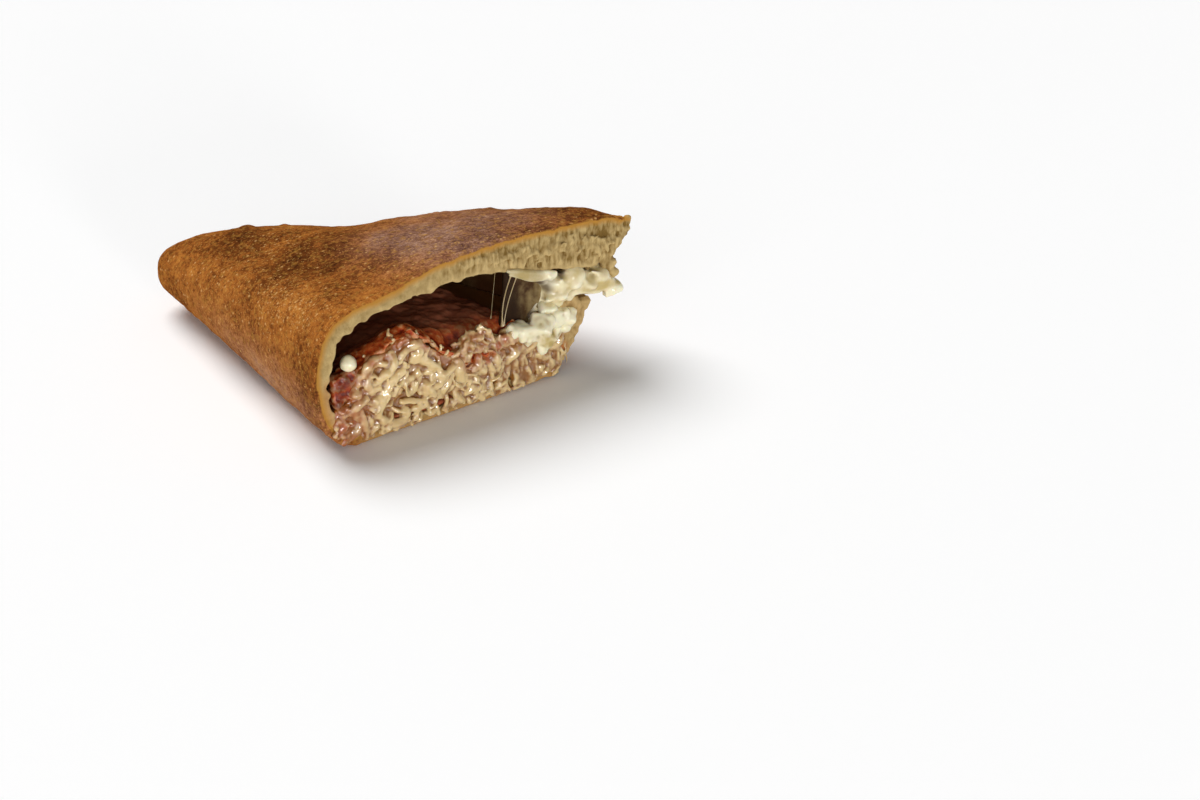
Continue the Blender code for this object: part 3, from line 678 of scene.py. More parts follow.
def lidDrawnIn(place):
    # the lid's torn end is undercut
    end = ease(53, 43, place.z) * ease(112, 126, place.y)
    return -7 * (end * ease(38, 41, place.z) * ease(-26, -8, place.x))


crust = copyNode("crust", "crustShell")
roundOff(crust, 2)
shiftEach(crust, 1, lidDrawnIn)
rim = duplicate(crust, "cutRim")
trimBetween(crust, crustCut["pastTip"], crustCut["shellFront"])
trimBetween(rim, crustCut["ringBack"], crustCut["pastCut"])

# torn dough that stands out of the ring: the lip's ragged end and the seam wall's edge. Path
# ends, number, half size
tornDough = {
    "lip": (((-0.8, 127.5, 54), (-1, 119.5, 43.5)), 16, (1, 2.2)),
    "lipTop": (((-1, 128, 57), (-0.8, 128.6, 52)), 6, (0.8, 1.5)),
    "lipFoot": (((-1.4, 119.5, 43), (-1.6, 123, 34)), 12, (0.8, 1.7)),
    "seamWall": (((-1, 104.2, 28), (-0.9, 92.6, 5.5)), 34, (1.2, 2.2)),
    "seamTop": (((-1.6, 96, 28.6), (-1.2, 103.5, 28.4)), 9, (1.2, 1.9)),
    "seamInside": (((-1.4, 99, 24), (-0.9, 92.8, 8)), 20, (1, 1.8)),
    "corner": (((-0.6, -3.2, 10), (-0.4, 9, 2.4)), 14, (0.9, 1.6)),
    "holeBack": (((-7, 109, 44), (-7, 118, 42)), 7, (1.8, 2.6)),
    "seamFoot": (((-0.3, 97, 6), (-0.3, 88, 2.8)), 7, (0.8, 1.3)),
}


def makeTornDough():
    rng = random.Random(7)
    places = []
    for (start, end), number, sizes in tornDough.values():
        for k in range(number):
            spot = Vector(start).lerp(Vector(end), (k + rng.random()) / number)
            spot += Vector((rng.uniform(-1.2, 0.9), rng.uniform(-1, 1), rng.uniform(-1, 1)))
            half = rng.uniform(*sizes)
            across, along = rng.uniform(0.7, 1.2), rng.uniform(0.8, 1.4)
            places.append((*spot, half * across, half * along, half))
    return makeLumps("tornDough", places)


# dough that was pulled to threads between the lip and the cheese: ends and half thickness
doughThreads = (
    ((-1.6, 116.4, 45), (-1.8, 117.4, 40), (-2, 118.2, 35.5), 1),
    ((-2, 118.6, 45), (-1.6, 118.8, 40.5), (-2, 119.8, 35), 0.7),
    ((-1.4, 109.8, 45), (-2, 110.4, 42), (-2.4, 110.6, 39.5), 0.8),
)


def makeDoughThreads():
    strands = []
    for start, middle, end, half in doughThreads:
        strands.append([(*start, 2.0 * half), (*middle, 0.8 * half), (*end, 1.5 * half)])
    return makeStrands("doughThreads", strands)


def wallOf(mesh, outside):
    # the ring's outer skin or its pocket wall, to measure how deep in the dough a point lies.
    # A face with another one before it, seen from outside or from the pocket, is a pore's
    places = [fromFoot(vertex.co) for vertex in mesh.vertices]
    whole = BVHTree.FromPolygons(places, [tuple(polygon.vertices) for polygon in mesh.polygons])
    faces = []
    for polygon in mesh.polygons:
        middle = fromFoot(polygon.center)
        flat = middle.x > -1.0 or abs(polygon.normal.x) > 0.6
        if flat or facesOut(middle, polygon.normal) != outside:
            continue
        cutY, cutZ = sectionMiddle["cut"]
        away = Vector((0, middle.y - cutY, middle.z - cutZ)).normalized()
        away *= 1 if outside else -1
        if whole.ray_cast(middle + 0.1 * away, away, 200 if outside else 15)[0] is None:
            faces.append(tuple(polygon.vertices))
    return BVHTree.FromPolygons(places, faces)


skinWall = wallOf(rim.data, True)
pocketWall = wallOf(rim.data, False)


# the stretch of the ring in which depths are measured
measuredBack, measuredFront = -3.8, -1.2


def depthAt(place, wall=skinWall):
    x = min(max(place.x, measuredBack), measuredFront)
    return wall.find_nearest(Vector((x, place.y, place.z)))[3]


# dough that fills all but the front of the lid's pores, as two rows of upright balls: each
# reaches to "free" under the skin and over the pocket where the lid is thick enough
poreFill = {
    "rows": (-1.2, -2.9), "start": 52, "end": 124, "step": 1.5, "above": 90, "inPocket": 38,
    "thinnest": 4, "free": 1.2, "half": (0.9, 1.6),
}


def makePoreFill(fill):
    places = []
    y = fill["start"]
    while y < fill["end"]:
        for x in fill["rows"]:
            top = skinWall.ray_cast(Vector((x, y, fill["above"])), Vector((0, 0, -1)))[0]
            roof = pocketWall.ray_cast(Vector((x, y, fill["inPocket"])), Vector((0, 0, 1)))[0]
            if top and roof and top.z - roof.z > fill["thinnest"]:
                half = (top.z - roof.z) / 2 - fill["free"]
                places.append((x, y, (top.z + roof.z) / 2, *fill["half"], half))
        y += fill["step"]
    return makeLumps("poreFill", places, 3)


joinAll(rim, makeTornDough(), makeDoughThreads(), makePoreFill(poreFill))
fuse(crust, crustCut["shellVoxel"], crustCut["shellSmoothing"])
fuse(rim, crustCut["ringVoxel"], crustCut["firstSmoothing"])
print("crust", len(crust.data.polygons), "rim", len(rim.data.polygons))


def tornAt(place):
    # the lid's end was torn off, so no skin covers it
    start = mix(114, 122, ease(42, 54, place.z))
    height = ease(57.5, 54, place.z) * ease(31, 34, place.z)
    return ease(start, start + 3, place.y) * height * ease(-9, -4, place.x)


def shellDepth(place, normal):
    # the shell is all skin outside and all crumb inside
    inside = depthAt(place) > 2.5 if place.x > -6 else not facesOut(place, normal)
    return 4.0 if inside else 0.0


def ringDepth(place, normal):
    seam = ease(92, 96, place.y) * ease(35, 31, place.z) * ease(-7, -3, place.x)
    golden = 1.1 * ease(14, 4, place.y) * ease(5, 12, place.z) * ease(56, 44, place.z)
    golden += 1.6 * ease(14, 6, place.z) * ease(16, 7, place.y) + 1.2 * max(lumps(place, 7, 24), 0)
    return max(depthAt(place) - golden, 4 * tornAt(place), 5 * seam)


def openCrumb(place):
    # how open the crumb is: the thick end of the lid most, the fold and the floor hardly
    lid = ease(30, 70, place.y) * ease(38, 44, place.z)
    lid *= ease(0.6, 2.4, depthAt(place, pocketWall))
    return lid + 0.3 * ease(88, 96, place.y) * ease(34, 30, place.z)


def raggedAt(place):
    # the crust broke ragged at the cut's lower corner, at the seam wall and at the lid's end
    corner = ease(20, 12, place.z) * ease(14, 2, place.y)
    seam = ease(91, 95, place.y) * ease(34, 30, place.z)
    lidEnd = ease(119, 124, place.y) * ease(38, 41, place.z)
    return max(corner, seam, 1.3 * lidEnd) * ease(-10, -3, place.x)


def openedAt(place, normal):
    # how far the crumb's upright cells show
    return min(0.2 + openCrumb(place), 1.0)


# how far the crumb may stand out of the cut, in mm, and the share that is kept beyond that
crumbStands = {"free": 0.2, "kept": 0.3}


def crumbHeight(place, normal):
    ragged = raggedAt(place) * (1.0 * lumps(place, 3.2, 21) + 0.6 * lumps(place, 1.4, 22))
    if normal.x < 0.5:
        if facesOut(place, normal):
            edge = 0.25 * ease(-3, -0.6, place.x) * lumps(place, 1.9, 14)
        else:
            fold = ease(18, 8, place.y) * ease(8, 15, place.z) * ease(52, 40, place.z)
            edge = 1.2 * fold + 1.3 * lumps(place, 3.8, 14) + 0.4 * lumps(place, 1.6, 15)
        return crustHeight(place, normal) + ragged + edge
    opened = openCrumb(place)
    flat = Vector((0, place.y, place.z))
    inside = ease(0.5, 2.0, depthAt(place))
    near, second = cells(Vector((0, place.y, place.z * 0.45)), 3.6, 6)
    bubble = -0.45 * ease(0.55, 0.1, near) * (1 + 0.5 * ease(92, 105, place.y))
    walls = 0.25 * ease(0.3, 0.0, second - near)
    small, _ = cells(Vector((0, place.y, place.z * 0.6)), 1.7, 16)
    rough = 0.3 * lumps(flat, 3.0, 2) + 0.1 * lumps(flat, 1.1, 8)
    rough -= 0.22 * ease(0.45, 0.1, small) * ease(85, 110, place.y)
    relief = 0.3 * (bubble + walls + rough) * opened
    relief += 0.4 * lumps(flat, 4, 12) + 0.1 * lumps(flat, 1.5, 8)
    return relief * inside + ragged


def hollowOf(place, normal):
    # painted shade: pores, the backs of bubbles, faces turned from the cut and the crumb behind it
    # are darker; towards the floor the crumb is darker too, partly moist and partly painted shade
    if place.y > 91 and place.z < 31:
        return 0.12
    if normal.x < 0.3 and place.x > -3.4:
        return 0.35
    moistAndShaded = 0.3 * ease(4.5, 2.5, place.z) * ease(0, 8, place.y)
    under = 0.22 * ease(2.0, 5.5, depthAt(place, pocketWall))
    under *= ease(38, 44, place.z) * ease(40, 60, place.y)
    return min(max(0.7 * ease(0.5, -1.5, place.x), moistAndShaded) + under, 1.0)


def stainAndShadeAt(place, normal):
    # the pocket's wall is darker, all but its edge at the cut: partly browned by sauce and steam,
    # partly painted shade
    if place.x > crustCut["ringBack"] and depthAt(place, pocketWall) > 1.6:
        return 0.0
    return ease(-1.2, -3.8, place.x) * min(1.0, 1.0 + 0.35 * lumps(place, 7, 19))


def softAt(place, normal):
    # the floor's and the seam's edges stayed pale and moist
    floor = ease(3.2, 1.2, place.z) * ease(2, 12, place.y)
    seam = ease(96, 103, place.y) * ease(36, 30, place.z)
    return max(floor, seam) * ease(-12, -2, place.x)


def blushAt(place, normal):
    # steam and sauce have tinted the seam wall and the pocket's edge by the sauce
    seam = 0.12 * ease(93, 98, place.y) * ease(34, 29, place.z) * (1 + 0.8 * lumps(place, 4, 23))
    spot = spotAt(place, 97, 11.6, 2.2, 2.0)
    edge = 0.35 * ease(2.2, 0.6, depthAt(place, pocketWall))
    edge *= ease(32, 26, place.z) * ease(30, 10, place.y)
    return min(seam + spot + edge, 0.95) * ease(-9, -4, place.x)


# how the oven coloured the skin: place, reach along x, y and z, and amount. The negative
# amounts on the fold side and at the tip are painted light, making paler the faces that the
# lamps light less
bakeAndPaintedLight = (
    ((-60, 20, 47), (22, 14, 20), 0.30),
    ((-107, 20, 38), (18, 13, 14), 0.24),
    ((-72, 40, 47), (16, 14, 20), 0.20),
    ((-30, 22, 53), (16, 12, 12), 0.14),
    ((-58, -3, 38), (10, 8, 8), 0.14),
    ((-11, -10, 26), (14, 10, 12), 0.14),
    ((-10, 110, 58), (26, 14, 14), 0.26),
    ((-2, 20, 56), (7, 40, 9), -0.10),
    ((-30, -1, 46), (24, 9, 8), -0.16),
    ((-98, -5, 22), (22, 9, 12), -0.14),
    ((-135, 0, 22), (14, 14, 16), -0.14),
    ((-80, 60, 40), (26, 18, 18), -0.06),
    ((-45, -6, 18), (50, 14, 20), -0.17),
)
# where the purplish tone is painted, as the top's sheen and as shade low on the fold side: place,
# reach along x, y and z, and amount
paintedSheenAndShade = (
    ((-12, 57, 61), (20, 20, 14), 0.9),
    ((-40, 50, 55), (18, 16, 14), 0.8),
    ((-28, 86, 58), (26, 22, 16), 0.60),
    ((-60, 80, 46), (24, 22, 18), 0.35),
    ((-40, -9, 12), (48, 12, 13), 0.55),
)
# where the pale dots lie, partly blisters and partly painted glints, most on the shoulder: place,
# reach along x, y and z, and amount
blisterAndGlintPatches = (
    ((-34, -1, 46), (30, 10, 9), 0.70),
    ((-80, -4, 30), (34, 10, 12), 0.25),
    ((-84, 24, 44), (22, 14, 12), 0.30),
    ((-10, 60, 60), (24, 30, 12), 0.25),
)


def patchesAt(place, patches):
    total = 0
    for middle, reach, amount in patches:
        off = [(place[k] - middle[k]) / reach[k] for k in range(3)]
        total += amount * math.exp(-(off[0] ** 2) - off[1] ** 2 - off[2] ** 2)
    return total


def bakeAndLightAt(place, normal):
    under = ease(2.5, 0.3, place.z)
    if place.z > 30 and -98 < place.x < -72:
        ridge = foldRidge(place)
        under += 1.6 * max(ridge, 0) + 0.9 * min(ridge, 0)
    # the skin's browning, and painted light from the negative patches on the fold side and tip
    return 0.44 + patchesAt(place, bakeAndPaintedLight) + 0.16 * lumps(place, 18, 31) - 0.16 * under


def sheenAndShadeAt(place, normal):
    # painted sheen and shade
    return min(patchesAt(place, paintedSheenAndShade) * (1 + 0.5 * lumps(place, 8, 41)), 0.9)


def blistersAndGlintsAt(place, normal):
    # painted glints share the pale dots with the blisters
    return 0.10 + patchesAt(place, blisterAndGlintPatches) * (1 + 0.6 * lumps(place, 7, 51))


pushOut(rim, crumbHeight)
for vertex in rim.data.vertices:
    # the knife left the crumb almost flat
    over = vertex.co.x - cutFoot.x - crumbStands["free"] * mm
    if over > 0:
        vertex.co.x -= (1 - crumbStands["kept"]) * over
fuse(rim, crustCut["ringVoxel"], crustCut["lastSmoothing"])
pushOut(crust, crustHeight)
for piece in (crust, rim):
    paint(piece, bake=bakeAndLightAt, dusky=sheenAndShadeAt, specks=blistersAndGlintsAt, stain=stainAndShadeAt, soft=softAt)
# the shell's crumb takes a little painted shade
paint(crust, depth=shellDepth, blush=0.0, hollow=0.2, opened=0.0)
paint(rim, depth=ringDepth, blush=blushAt, hollow=hollowOf, opened=openedAt)
paintRelief(rim, *crustCut["ringRelief"])
paintRelief(crust, *crustCut["shellRelief"])
finishPiece(crust, dough, "crust", "crust")
finishPiece(rim, dough, "crust")

# top of the cheese at the cut: y and height
heapTop = (
    (-6, 16), (3, 18), (7, 29), (14, 33), (22, 36), (29, 38.5), (36, 33),
    (44, 24), (54, 18), (63, 20), (73, 20.5), (82, 23), (92, 24), (110, 27),
)


def topAt(y):
    for (lowY, lowZ), (highY, highZ) in zip(heapTop, heapTop[1:]):
        if y <= highY:
            return mix(lowZ, highZ, ease(lowY, highY, y))
    return heapTop[-1][1]


# the cut through the heap of grated cheese: curls in the middle, sauce-stained grains at
# the folded side, fine drooping fibres towards the seam, and ends that hang on the floor
heapCut = {
    "frontBack": -9.0, "backFront": -8.0, "frontFront": 0.1, "sunk": 0.1, "frontVoxel": 0.36,
    "frontSmoothing": 14, "frontRelief": (10, 0.27), "backVoxel": 1.1, "backSmoothing": 2,
    "grains": 120,
}
# strands by zone: their number, the spans of y, half thickness and length, their bow, and the
# spans of their turn, of x, and of the share of the heap's height
zoneKeys = ("number", "y", "half", "length", "bow", "turn", "x", "rise")
strandZones = {
    "back": (20, (2, 96), (1.4, 2.4), (8, 15), 3, (-0.6, 2.2), (-0.8, -0.2), (0.1, 0.95)),
    "bigCurls": (18, (8, 64), (1.8, 3), (6, 12), 4.6, (-1, 2.1), (0, 1), (0.15, 0.95)),
    "flakes": (20, (10, 66), (1.7, 2.8), (5, 10), 3, (-1, 2.1), (0, 1), (0.1, 0.95)),
    "smallCurls": (16, (8, 64), (0.9, 1.3), (5, 9), 3.2, (-1.2, 2.4), (0.6, 1.5), (0.15, 1)),
    "crest": (14, (18, 40), (1, 1.9), (4, 8), 2.5, (-0.8, 1.2), (0.2, 1), (0.6, 0.92)),
    "fibres": (110, (58, 97), (0.45, 0.7), (9, 17), 2, (1.2, 2), (-0.2, 0.4), (0.2, 0.85)),
    "fringe": (80, (6, 94), (0.9, 1.6), (4, 8), 1.5, (0.5, 2.5), (0, 1.1), (-0.1, 0.15)),
}
# the curls that stand out most: half the thickness, then a row of y and z
placedCurls = (
    (2.1, ((13.2, 9.5), (14.2, 14.7), (17.4, 20.1), (21.5, 23.7), (25.8, 25.2))),
    (1.3, ((20.1, 16), (22, 19), (25.5, 20.8), (29.4, 20.8))),
    (1.6, ((24.1, 31), (28, 33.6), (32.2, 33.5), (36.3, 30))),
    (1.7, ((29.2, 29.8), (33.5, 26.4), (36.8, 23.9), (41.1, 20.2))),
    (1.6, ((37, 22.2), (40.9, 20.4), (41.2, 16.6), (37.6, 14.4), (33, 16.4))),
    (1.4, ((31.4, 13), (35.5, 14.6), (39.8, 11.8), (40.8, 8.2))),
    (1.6, ((57.9, 21.4), (56.5, 18.2), (57.9, 14))),
    (1.4, ((61.2, 17.6), (62.8, 13.7), (65, 10.5))),
    (1.3, ((66.1, 17.9), (66.9, 14.1), (65.9, 11))),
    (1.7, ((6.7, 15.2), (7.6, 10.3), (8.6, 5.6))),
    (1.4, ((14.8, 4.5), (18.6, 4.9), (22.9, 4.7), (27.2, 4.2))),
    (1.5, ((25.5, 7.8), (30.8, 8.2), (35.1, 7.6))),
    (1.4, ((23.3, 12.6), (27.6, 11.8), (31.8, 10.4))),
    (1.5, ((51, 6.7), (55.4, 8.4), (59, 7.9), (61.7, 5.6))),
)
# dark gaps between the shreds above the floor: y, z and reach
gaps = ((21.5, 6.4, 1.9), (40.9, 6.0, 2.1), (45.2, 7.2, 1.5))


def bulge(share):
    # 0 at both ends of a strand and 1 in its middle
    return math.sin(math.pi * share)


def makeStrand(zone, y, z, rng):
    half = rng.uniform(*zone["half"])
    length = rng.uniform(*zone["length"])
    turn = rng.uniform(*zone["turn"])
    heading = Vector((rng.uniform(-0.15, 0.15), math.cos(turn), math.sin(turn)))
    side = heading.cross(Vector((1, 0, 0))) * rng.uniform(-1, 1) * zone["bow"]
    middle = Vector((rng.uniform(*zone["x"]), y, z))
    strand = []
    for k in range(7):
        share = k / 6
        place = middle + heading * length * (share - 0.5) + side * bulge(share)
        place.x += 0.5 * math.sin(5 * share + y)
        strand.append((*place, half * rng.uniform(0.75, 1.25) * (0.6 + 0.4 * bulge(share))))
    return strand


def strandsFor(name, rng):
    zone = dict(zip(zoneKeys, strandZones[name]))
    strands = []
    while len(strands) < zone["number"]:
        y = rng.uniform(*zone["y"])
        z = mix(4, topAt(y), rng.uniform(*zone["rise"]))
        strand = makeStrand(zone, y, z, rng)
        inside = all(1.0 < z < topAt(y) + 1.2 and -2 < y < 99 for _, y, z, _ in strand)
        clear = all(math.dist(spot[1:3], gap[:2]) > gap[2] for spot in strand for gap in gaps)
        if inside and clear:
            strands.append(strand)
    return strands


rng = random.Random(21)
heap = copyNode("cheese_filling", "cheeseHeapInside")
front = duplicate(heap, "gratedCheeseCut")
trimBetween(heap, crustCut["pastTip"], heapCut["backFront"])
trimBetween(front, heapCut["frontBack"], heapCut["frontFront"])
shiftEach(front, 0, lambda place: -heapCut["sunk"])
fuse(heap, heapCut["backVoxel"], heapCut["backSmoothing"])
zoneStrands = {name: strandsFor(name, rng) for name in strandZones}
strands = [strand for group in zoneStrands.values() for strand in group]
# a white chunk that points down out of the middle
chunkHalves = (1.3, 2.4, 2.8, 2.2, 1.2)
chunk = [(0.9, 48.3 + 0.5 * k, 22.6 - 2.6 * k, half) for k, half in enumerate(chunkHalves)]
grains = []
while len(grains) < heapCut["grains"]:
    y, z = rng.uniform(-3.5, 14), rng.uniform(5.5, 29)
    if z < topAt(y) + 2 * rng.random() ** 3:
        half = rng.uniform(0.6, 1.8)
        x = rng.uniform(-0.6, 0.8)
        grains.append((x, y, z, half * rng.uniform(0.7, 1), half * rng.uniform(0.9, 1.4), half))
threads = makeStrands("threads", zoneStrands["back"] + zoneStrands["fibres"] + [chunk])
placed = []
for count, (half, row) in enumerate(placedCurls):
    swell = []
    for k in range(len(row)):
        swell.append((0.6 + 0.6 * bulge(k / (len(row) - 1))) * rng.uniform(0.8, 1.2))
    curl = []
    for k, (y, z) in enumerate(row):
        curl.append((1.1 + 0.5 * math.sin(2 * k + count), y, z, half * swell[k]))
    placed.append(curl)
threads = joinAll(threads, makeStrands("placedCurls", placed, 2, 0.35))
stripZones = ("bigCurls", "smallCurls", "fringe", "crest")
strips = [strand for name in stripZones for strand in zoneStrands[name]]
strips = makeStrands("strips", strips, 2, 0.8)
flakes = makeStrands("flakes", zoneStrands["flakes"], 2, 1.6)
grainBalls = makeLumps("grains", grains)


def heapHeight(place, normal):
    # the heap is lumpy under the curls, flatter under the fibres
    lumpy = 0.8 * lumps(place, 6, 63) + 0.5 * lumps(place, 2.8, 64)
    return lumpy * mix(1, 0.4, ease(54, 64, place.y))


fuse(front, 2 * heapCut["frontVoxel"])
pushOut(front, heapHeight)
joinAll(front, threads, strips, flakes, grainBalls)
fuse(front, heapCut["frontVoxel"], heapCut["frontSmoothing"])
pushOut(front, lambda p, n: 0.15 + 0.4 * lumps(p, 2.8, 61) + 0.1 * lumps(p, 1.2, 62))

# each strand and grain has its own tone: a point takes that of the middle nearest to it
middles = [strand[3][:3] for strand in strands] + [grain[:3] for grain in grains]
strandTree = kdtree.KDTree(len(middles))
strandTones = []
for count, place in enumerate(middles):
    strandTree.insert(place, count)
    strandTones.append(rng.random())
strandTree.balance()


def paleAt(place, normal):
    if math.dist(place[1:], (49.2, 17.5)) < 5 and place.x > 0.2:
        return -0.3
    # painted light and shade: what stands out of the cut is paler, what lies behind it deeper in
    # tone
    stands = 0.65 * ease(0.8, 2.4, place.x) - 0.45 * ease(0.6, -0.6, place.x)
    golden = max(ease(16, 7, place.y), 0.5 * ease(60, 68, place.y))
    golden = max(golden, ease(7, 1, topAt(place.y) - place.z))
    tone = 0.25 + 0.4 * golden + 0.45 * strandTones[strandTree.find(place)[1]]
    return tone + 0.4 * lumps(place, 7, 65) - stands


def redRunAt(place):
    # a streak of sauce over the shreds, below the mound's right end
    run = ((62, 18), (64, 20), (67, 21.5), (70, 23.5))
    nearest = min(math.dist(place[1:], spot) for spot in run)
    return 0.95 * ease(2.6, 0.8, nearest + 1.2 * lumps(place, 2.0, 74))


def tintAt(place, normal):
    # sauce soaks in at the folded side and along the top of the heap
    side = ease(15, 2, place.y) * (0.45 + 0.7 * lumps(place, 2.6, 71))
    top = ease(5.0, 0.0, topAt(place.y) - place.z) * ease(72, 60, place.y)
    top *= 0.45 + 0.9 * lumps(place, 4, 72)
    low = ease(8.5, 5, place.z) * ease(60, 50, place.y) * (0.6 * lumps(place, 3, 73) - 0.05)
    return min(max(side, top, low, redRunAt(place), 0), 0.85)


def hollowAt(place, normal):
    # painted shade: dark between the strands, behind the cut
    return 0.8 * ease(-0.3, -2.0, place.x)


paint(front, pale=paleAt, tint=tintAt, hollow=hollowAt)
# the heap behind the cut takes painted shade
paint(heap, pale=paleAt, tint=tintAt, hollow=0.3)
paintRelief(front, *heapCut["frontRelief"])
finishPiece(front, gratedCheese, "cheese", "cheese_filling")
finishPiece(heap, gratedCheese, "cheese")

# wet sauce on the cheese, lumpy, with runs over the cheese's edge at the cut
sauceRuns = {"number": 70, "voxel": 0.65, "smoothing": 7, "relief": (6, 0.35)}
topSauce = copyNode("tomato_sauce", "sauceOnCheese")
drops = []
while len(drops) < sauceRuns["number"]:
    y = rng.uniform(-4.5, 70)
    z = topAt(y) + rng.uniform(-1.5, 4.0) if y > 5 else rng.uniform(19, 29)
    half = rng.uniform(0.9, 2.2)
    drops.append((rng.uniform(-3.5, 0.0), y, z, half * 0.8, half * rng.uniform(0.9, 1.5), half))
joinAll(topSauce, makeLumps("drops", drops))
fuse(topSauce, sauceRuns["voxel"], sauceRuns["smoothing"])


def sauceFall(place):
    # the layer thins and falls away towards the cut
    over = max(place.z - topAt(place.y) - 0.5, 0) if place.y > 6 else 0
    return -0.75 * over * ease(-11, -0.5, place.x)


def sauceHeight(place, normal):
    broad = 1.0 * lumps(place, 9, 80) * ease(0, -8, place.x)
    return broad + 0.7 * lumps(place, 4, 81) + 0.35 * lumps(place, 1.8, 82)


def sauceAtFold(place, normal):
    # lumpier at the folded side
    return (0.8 * lumps(place, 2.4, 84) + 0.4 * lumps(place, 1.1, 86)) * ease(12, 6, place.y)


def deepAt(place, normal):
    # dull and brown in the pocket
    return 0.97 * ease(-5, -17, place.x)


def shadeAt(place, normal):
    # dark at the folded side
    return 0.55 * ease(12, 5, place.y) * (1 + lumps(place, 3, 85))


shiftEach(topSauce, 2, sauceFall)
pushOut(topSauce, sauceHeight)
pushOut(topSauce, sauceAtFold)
paint(topSauce, deep=deepAt, shade=shadeAt)
paintRelief(topSauce, *sauceRuns["relief"])
finishPiece(topSauce, sauce, "sauce", "tomato_sauce")

# pinkish shreds and grains that lie in the sauce along the heap's top edge
pinkShreds = {
    "alongTop": 12, "mound": 90, "under": 100, "half": (0.55, 1.05),
    "taper": (0.6, 1, 1.1, 0.9, 0.5), "voxel": 0.4, "smoothing": 9, "relief": (8, 0.3),
}


def moundTop(y):
    # how far the shreds are heaped over the cheese between the sauce and the curds
    return 11.5 * ease(46, 55, y) * ease(68, 60, y) + 3.5 * ease(60, 66, y) * ease(79, 72, y)


def makePinkShreds(make):
    rng = random.Random(33)
    strands = []
    for k in range(make["alongTop"] + make["mound"]):
        if k < make["alongTop"]:
            y = rng.uniform(4, 66)
            z = topAt(y) + rng.uniform(0.3, 2.8)
        else:
            y = rng.uniform(47, 77)
            z = topAt(y) + rng.uniform(0.2, 1.0) * moundTop(y)
        turn = rng.uniform(-0.6, 2.6)
        heading = Vector((rng.uniform(-0.6, 0.3), math.cos(turn), math.sin(turn)))
        length, half = rng.uniform(1.6, 4.2), rng.uniform(*make["half"])
        middle = Vector((rng.uniform(-3.5, 0.6), y, z))
        bow = heading.cross(Vector((1, 0, 0))) * rng.uniform(-1.5, 1.5)
        strand = []
        for j, taper in enumerate(make["taper"]):
            place = middle + heading * length * (j / 4 - 0.5) + bow * bulge(j / 4)
            strand.append((*place, half * taper))
        strands.append(strand)
    under = []
    for _ in range(make["under"]):
        y, x = rng.uniform(47, 77), rng.uniform(-3.2, 0.0)
        under.append((x, y, topAt(y) + rng.uniform(0.0, 0.9) * moundTop(y), 1.6, 2.1, 1.7))
    piece = joinAll(makeStrands("shredsInSauce", strands), makeLumps("moundInside", under))
    fuse(piece, make["voxel"], make["smoothing"])
    return piece


def pinkTint(place, normal):
    return min(max(0.2 + 0.75 * lumps(place, 3.0, 93), redRunAt(place), 0), 0.85)


shreds = makePinkShreds(pinkShreds)
pushOut(shreds, lambda p, n: 0.35 * lumps(p, 2.0, 91) + 0.15 * lumps(p, 1.0, 94))
paint(shreds, pale=lambda p, n: 0.3 + 0.5 * lumps(p, 5, 92), tint=pinkTint, hollow=0.0)
paintRelief(shreds, *pinkShreds["relief"])
finishPiece(shreds, gratedCheese, "cheese")

thinSauce = {"voxel": 0.8, "smoothing": 2, "deep": 0.55}
underSauce = copyNode("lower_sauce", "sauceUnderCheese")
fuse(underSauce, thinSauce["voxel"], thinSauce["smoothing"])
pushOut(underSauce, lambda p, n: 0.25 * lumps(p, 3, 83))
paint(underSauce, deep=thinSauce["deep"])
finishPiece(underSauce, sauce, "sauce", "lower_sauce")

# melted cheese: the CAD's tongue, a little shrunk, under lobes and folds that were drawn out
# from the flap to its tip. A lobe or curd gives its middle and half sizes, and a fold is a
# row of (x, y, z, half its thickness)
lobes = (
    (-1.8, 103.6, 39, 4.2, 5.4, 4.8),
    (-2.4, 98.4, 37.4, 3.4, 3.6, 3.6),
    (-1.6, 115.2, 35.4, 3.8, 4.8, 3.6),
    (-1.4, 119.4, 32.6, 3, 3.2, 2.6),
    (-2.6, 110, 36.6, 2.8, 3, 3.2),
    (-2.6, 97, 29.6, 2.6, 3.4, 2.6),
    (-2.6, 101.4, 29.8, 2.4, 3.4, 2.2),
    (-5, 93.6, 27.6, 2.8, 3.4, 3.2),
    (-5.4, 115, 37.6, 2.8, 4.4, 3.4),
)
broadFolds = (
    (
        (-2.6, 91.5, 33.4, 1.6), (-2.2, 97, 34, 2.1), (-1.8, 103.5, 33.4, 2.4),
        (-1.5, 110.5, 32, 2.3), (-1.2, 116, 30, 2),
    ),
    ((-3.4, 97, 36.5, 2.8), (-3, 104, 35.6, 3.2), (-2.6, 110, 34.5, 3.2), (-2, 117, 32.3, 2.6)),
    ((-6.4, 91, 43, 1.8), (-5.8, 93, 38, 2.2), (-5.2, 93, 34, 2.4), (-5.4, 91, 29, 2.2)),
    ((-5.8, 90.6, 40, 1.2), (-5.8, 90.4, 35, 1.4), (-5.4, 88, 29, 1.5), (-4.8, 85, 25.5, 1.8)),
)
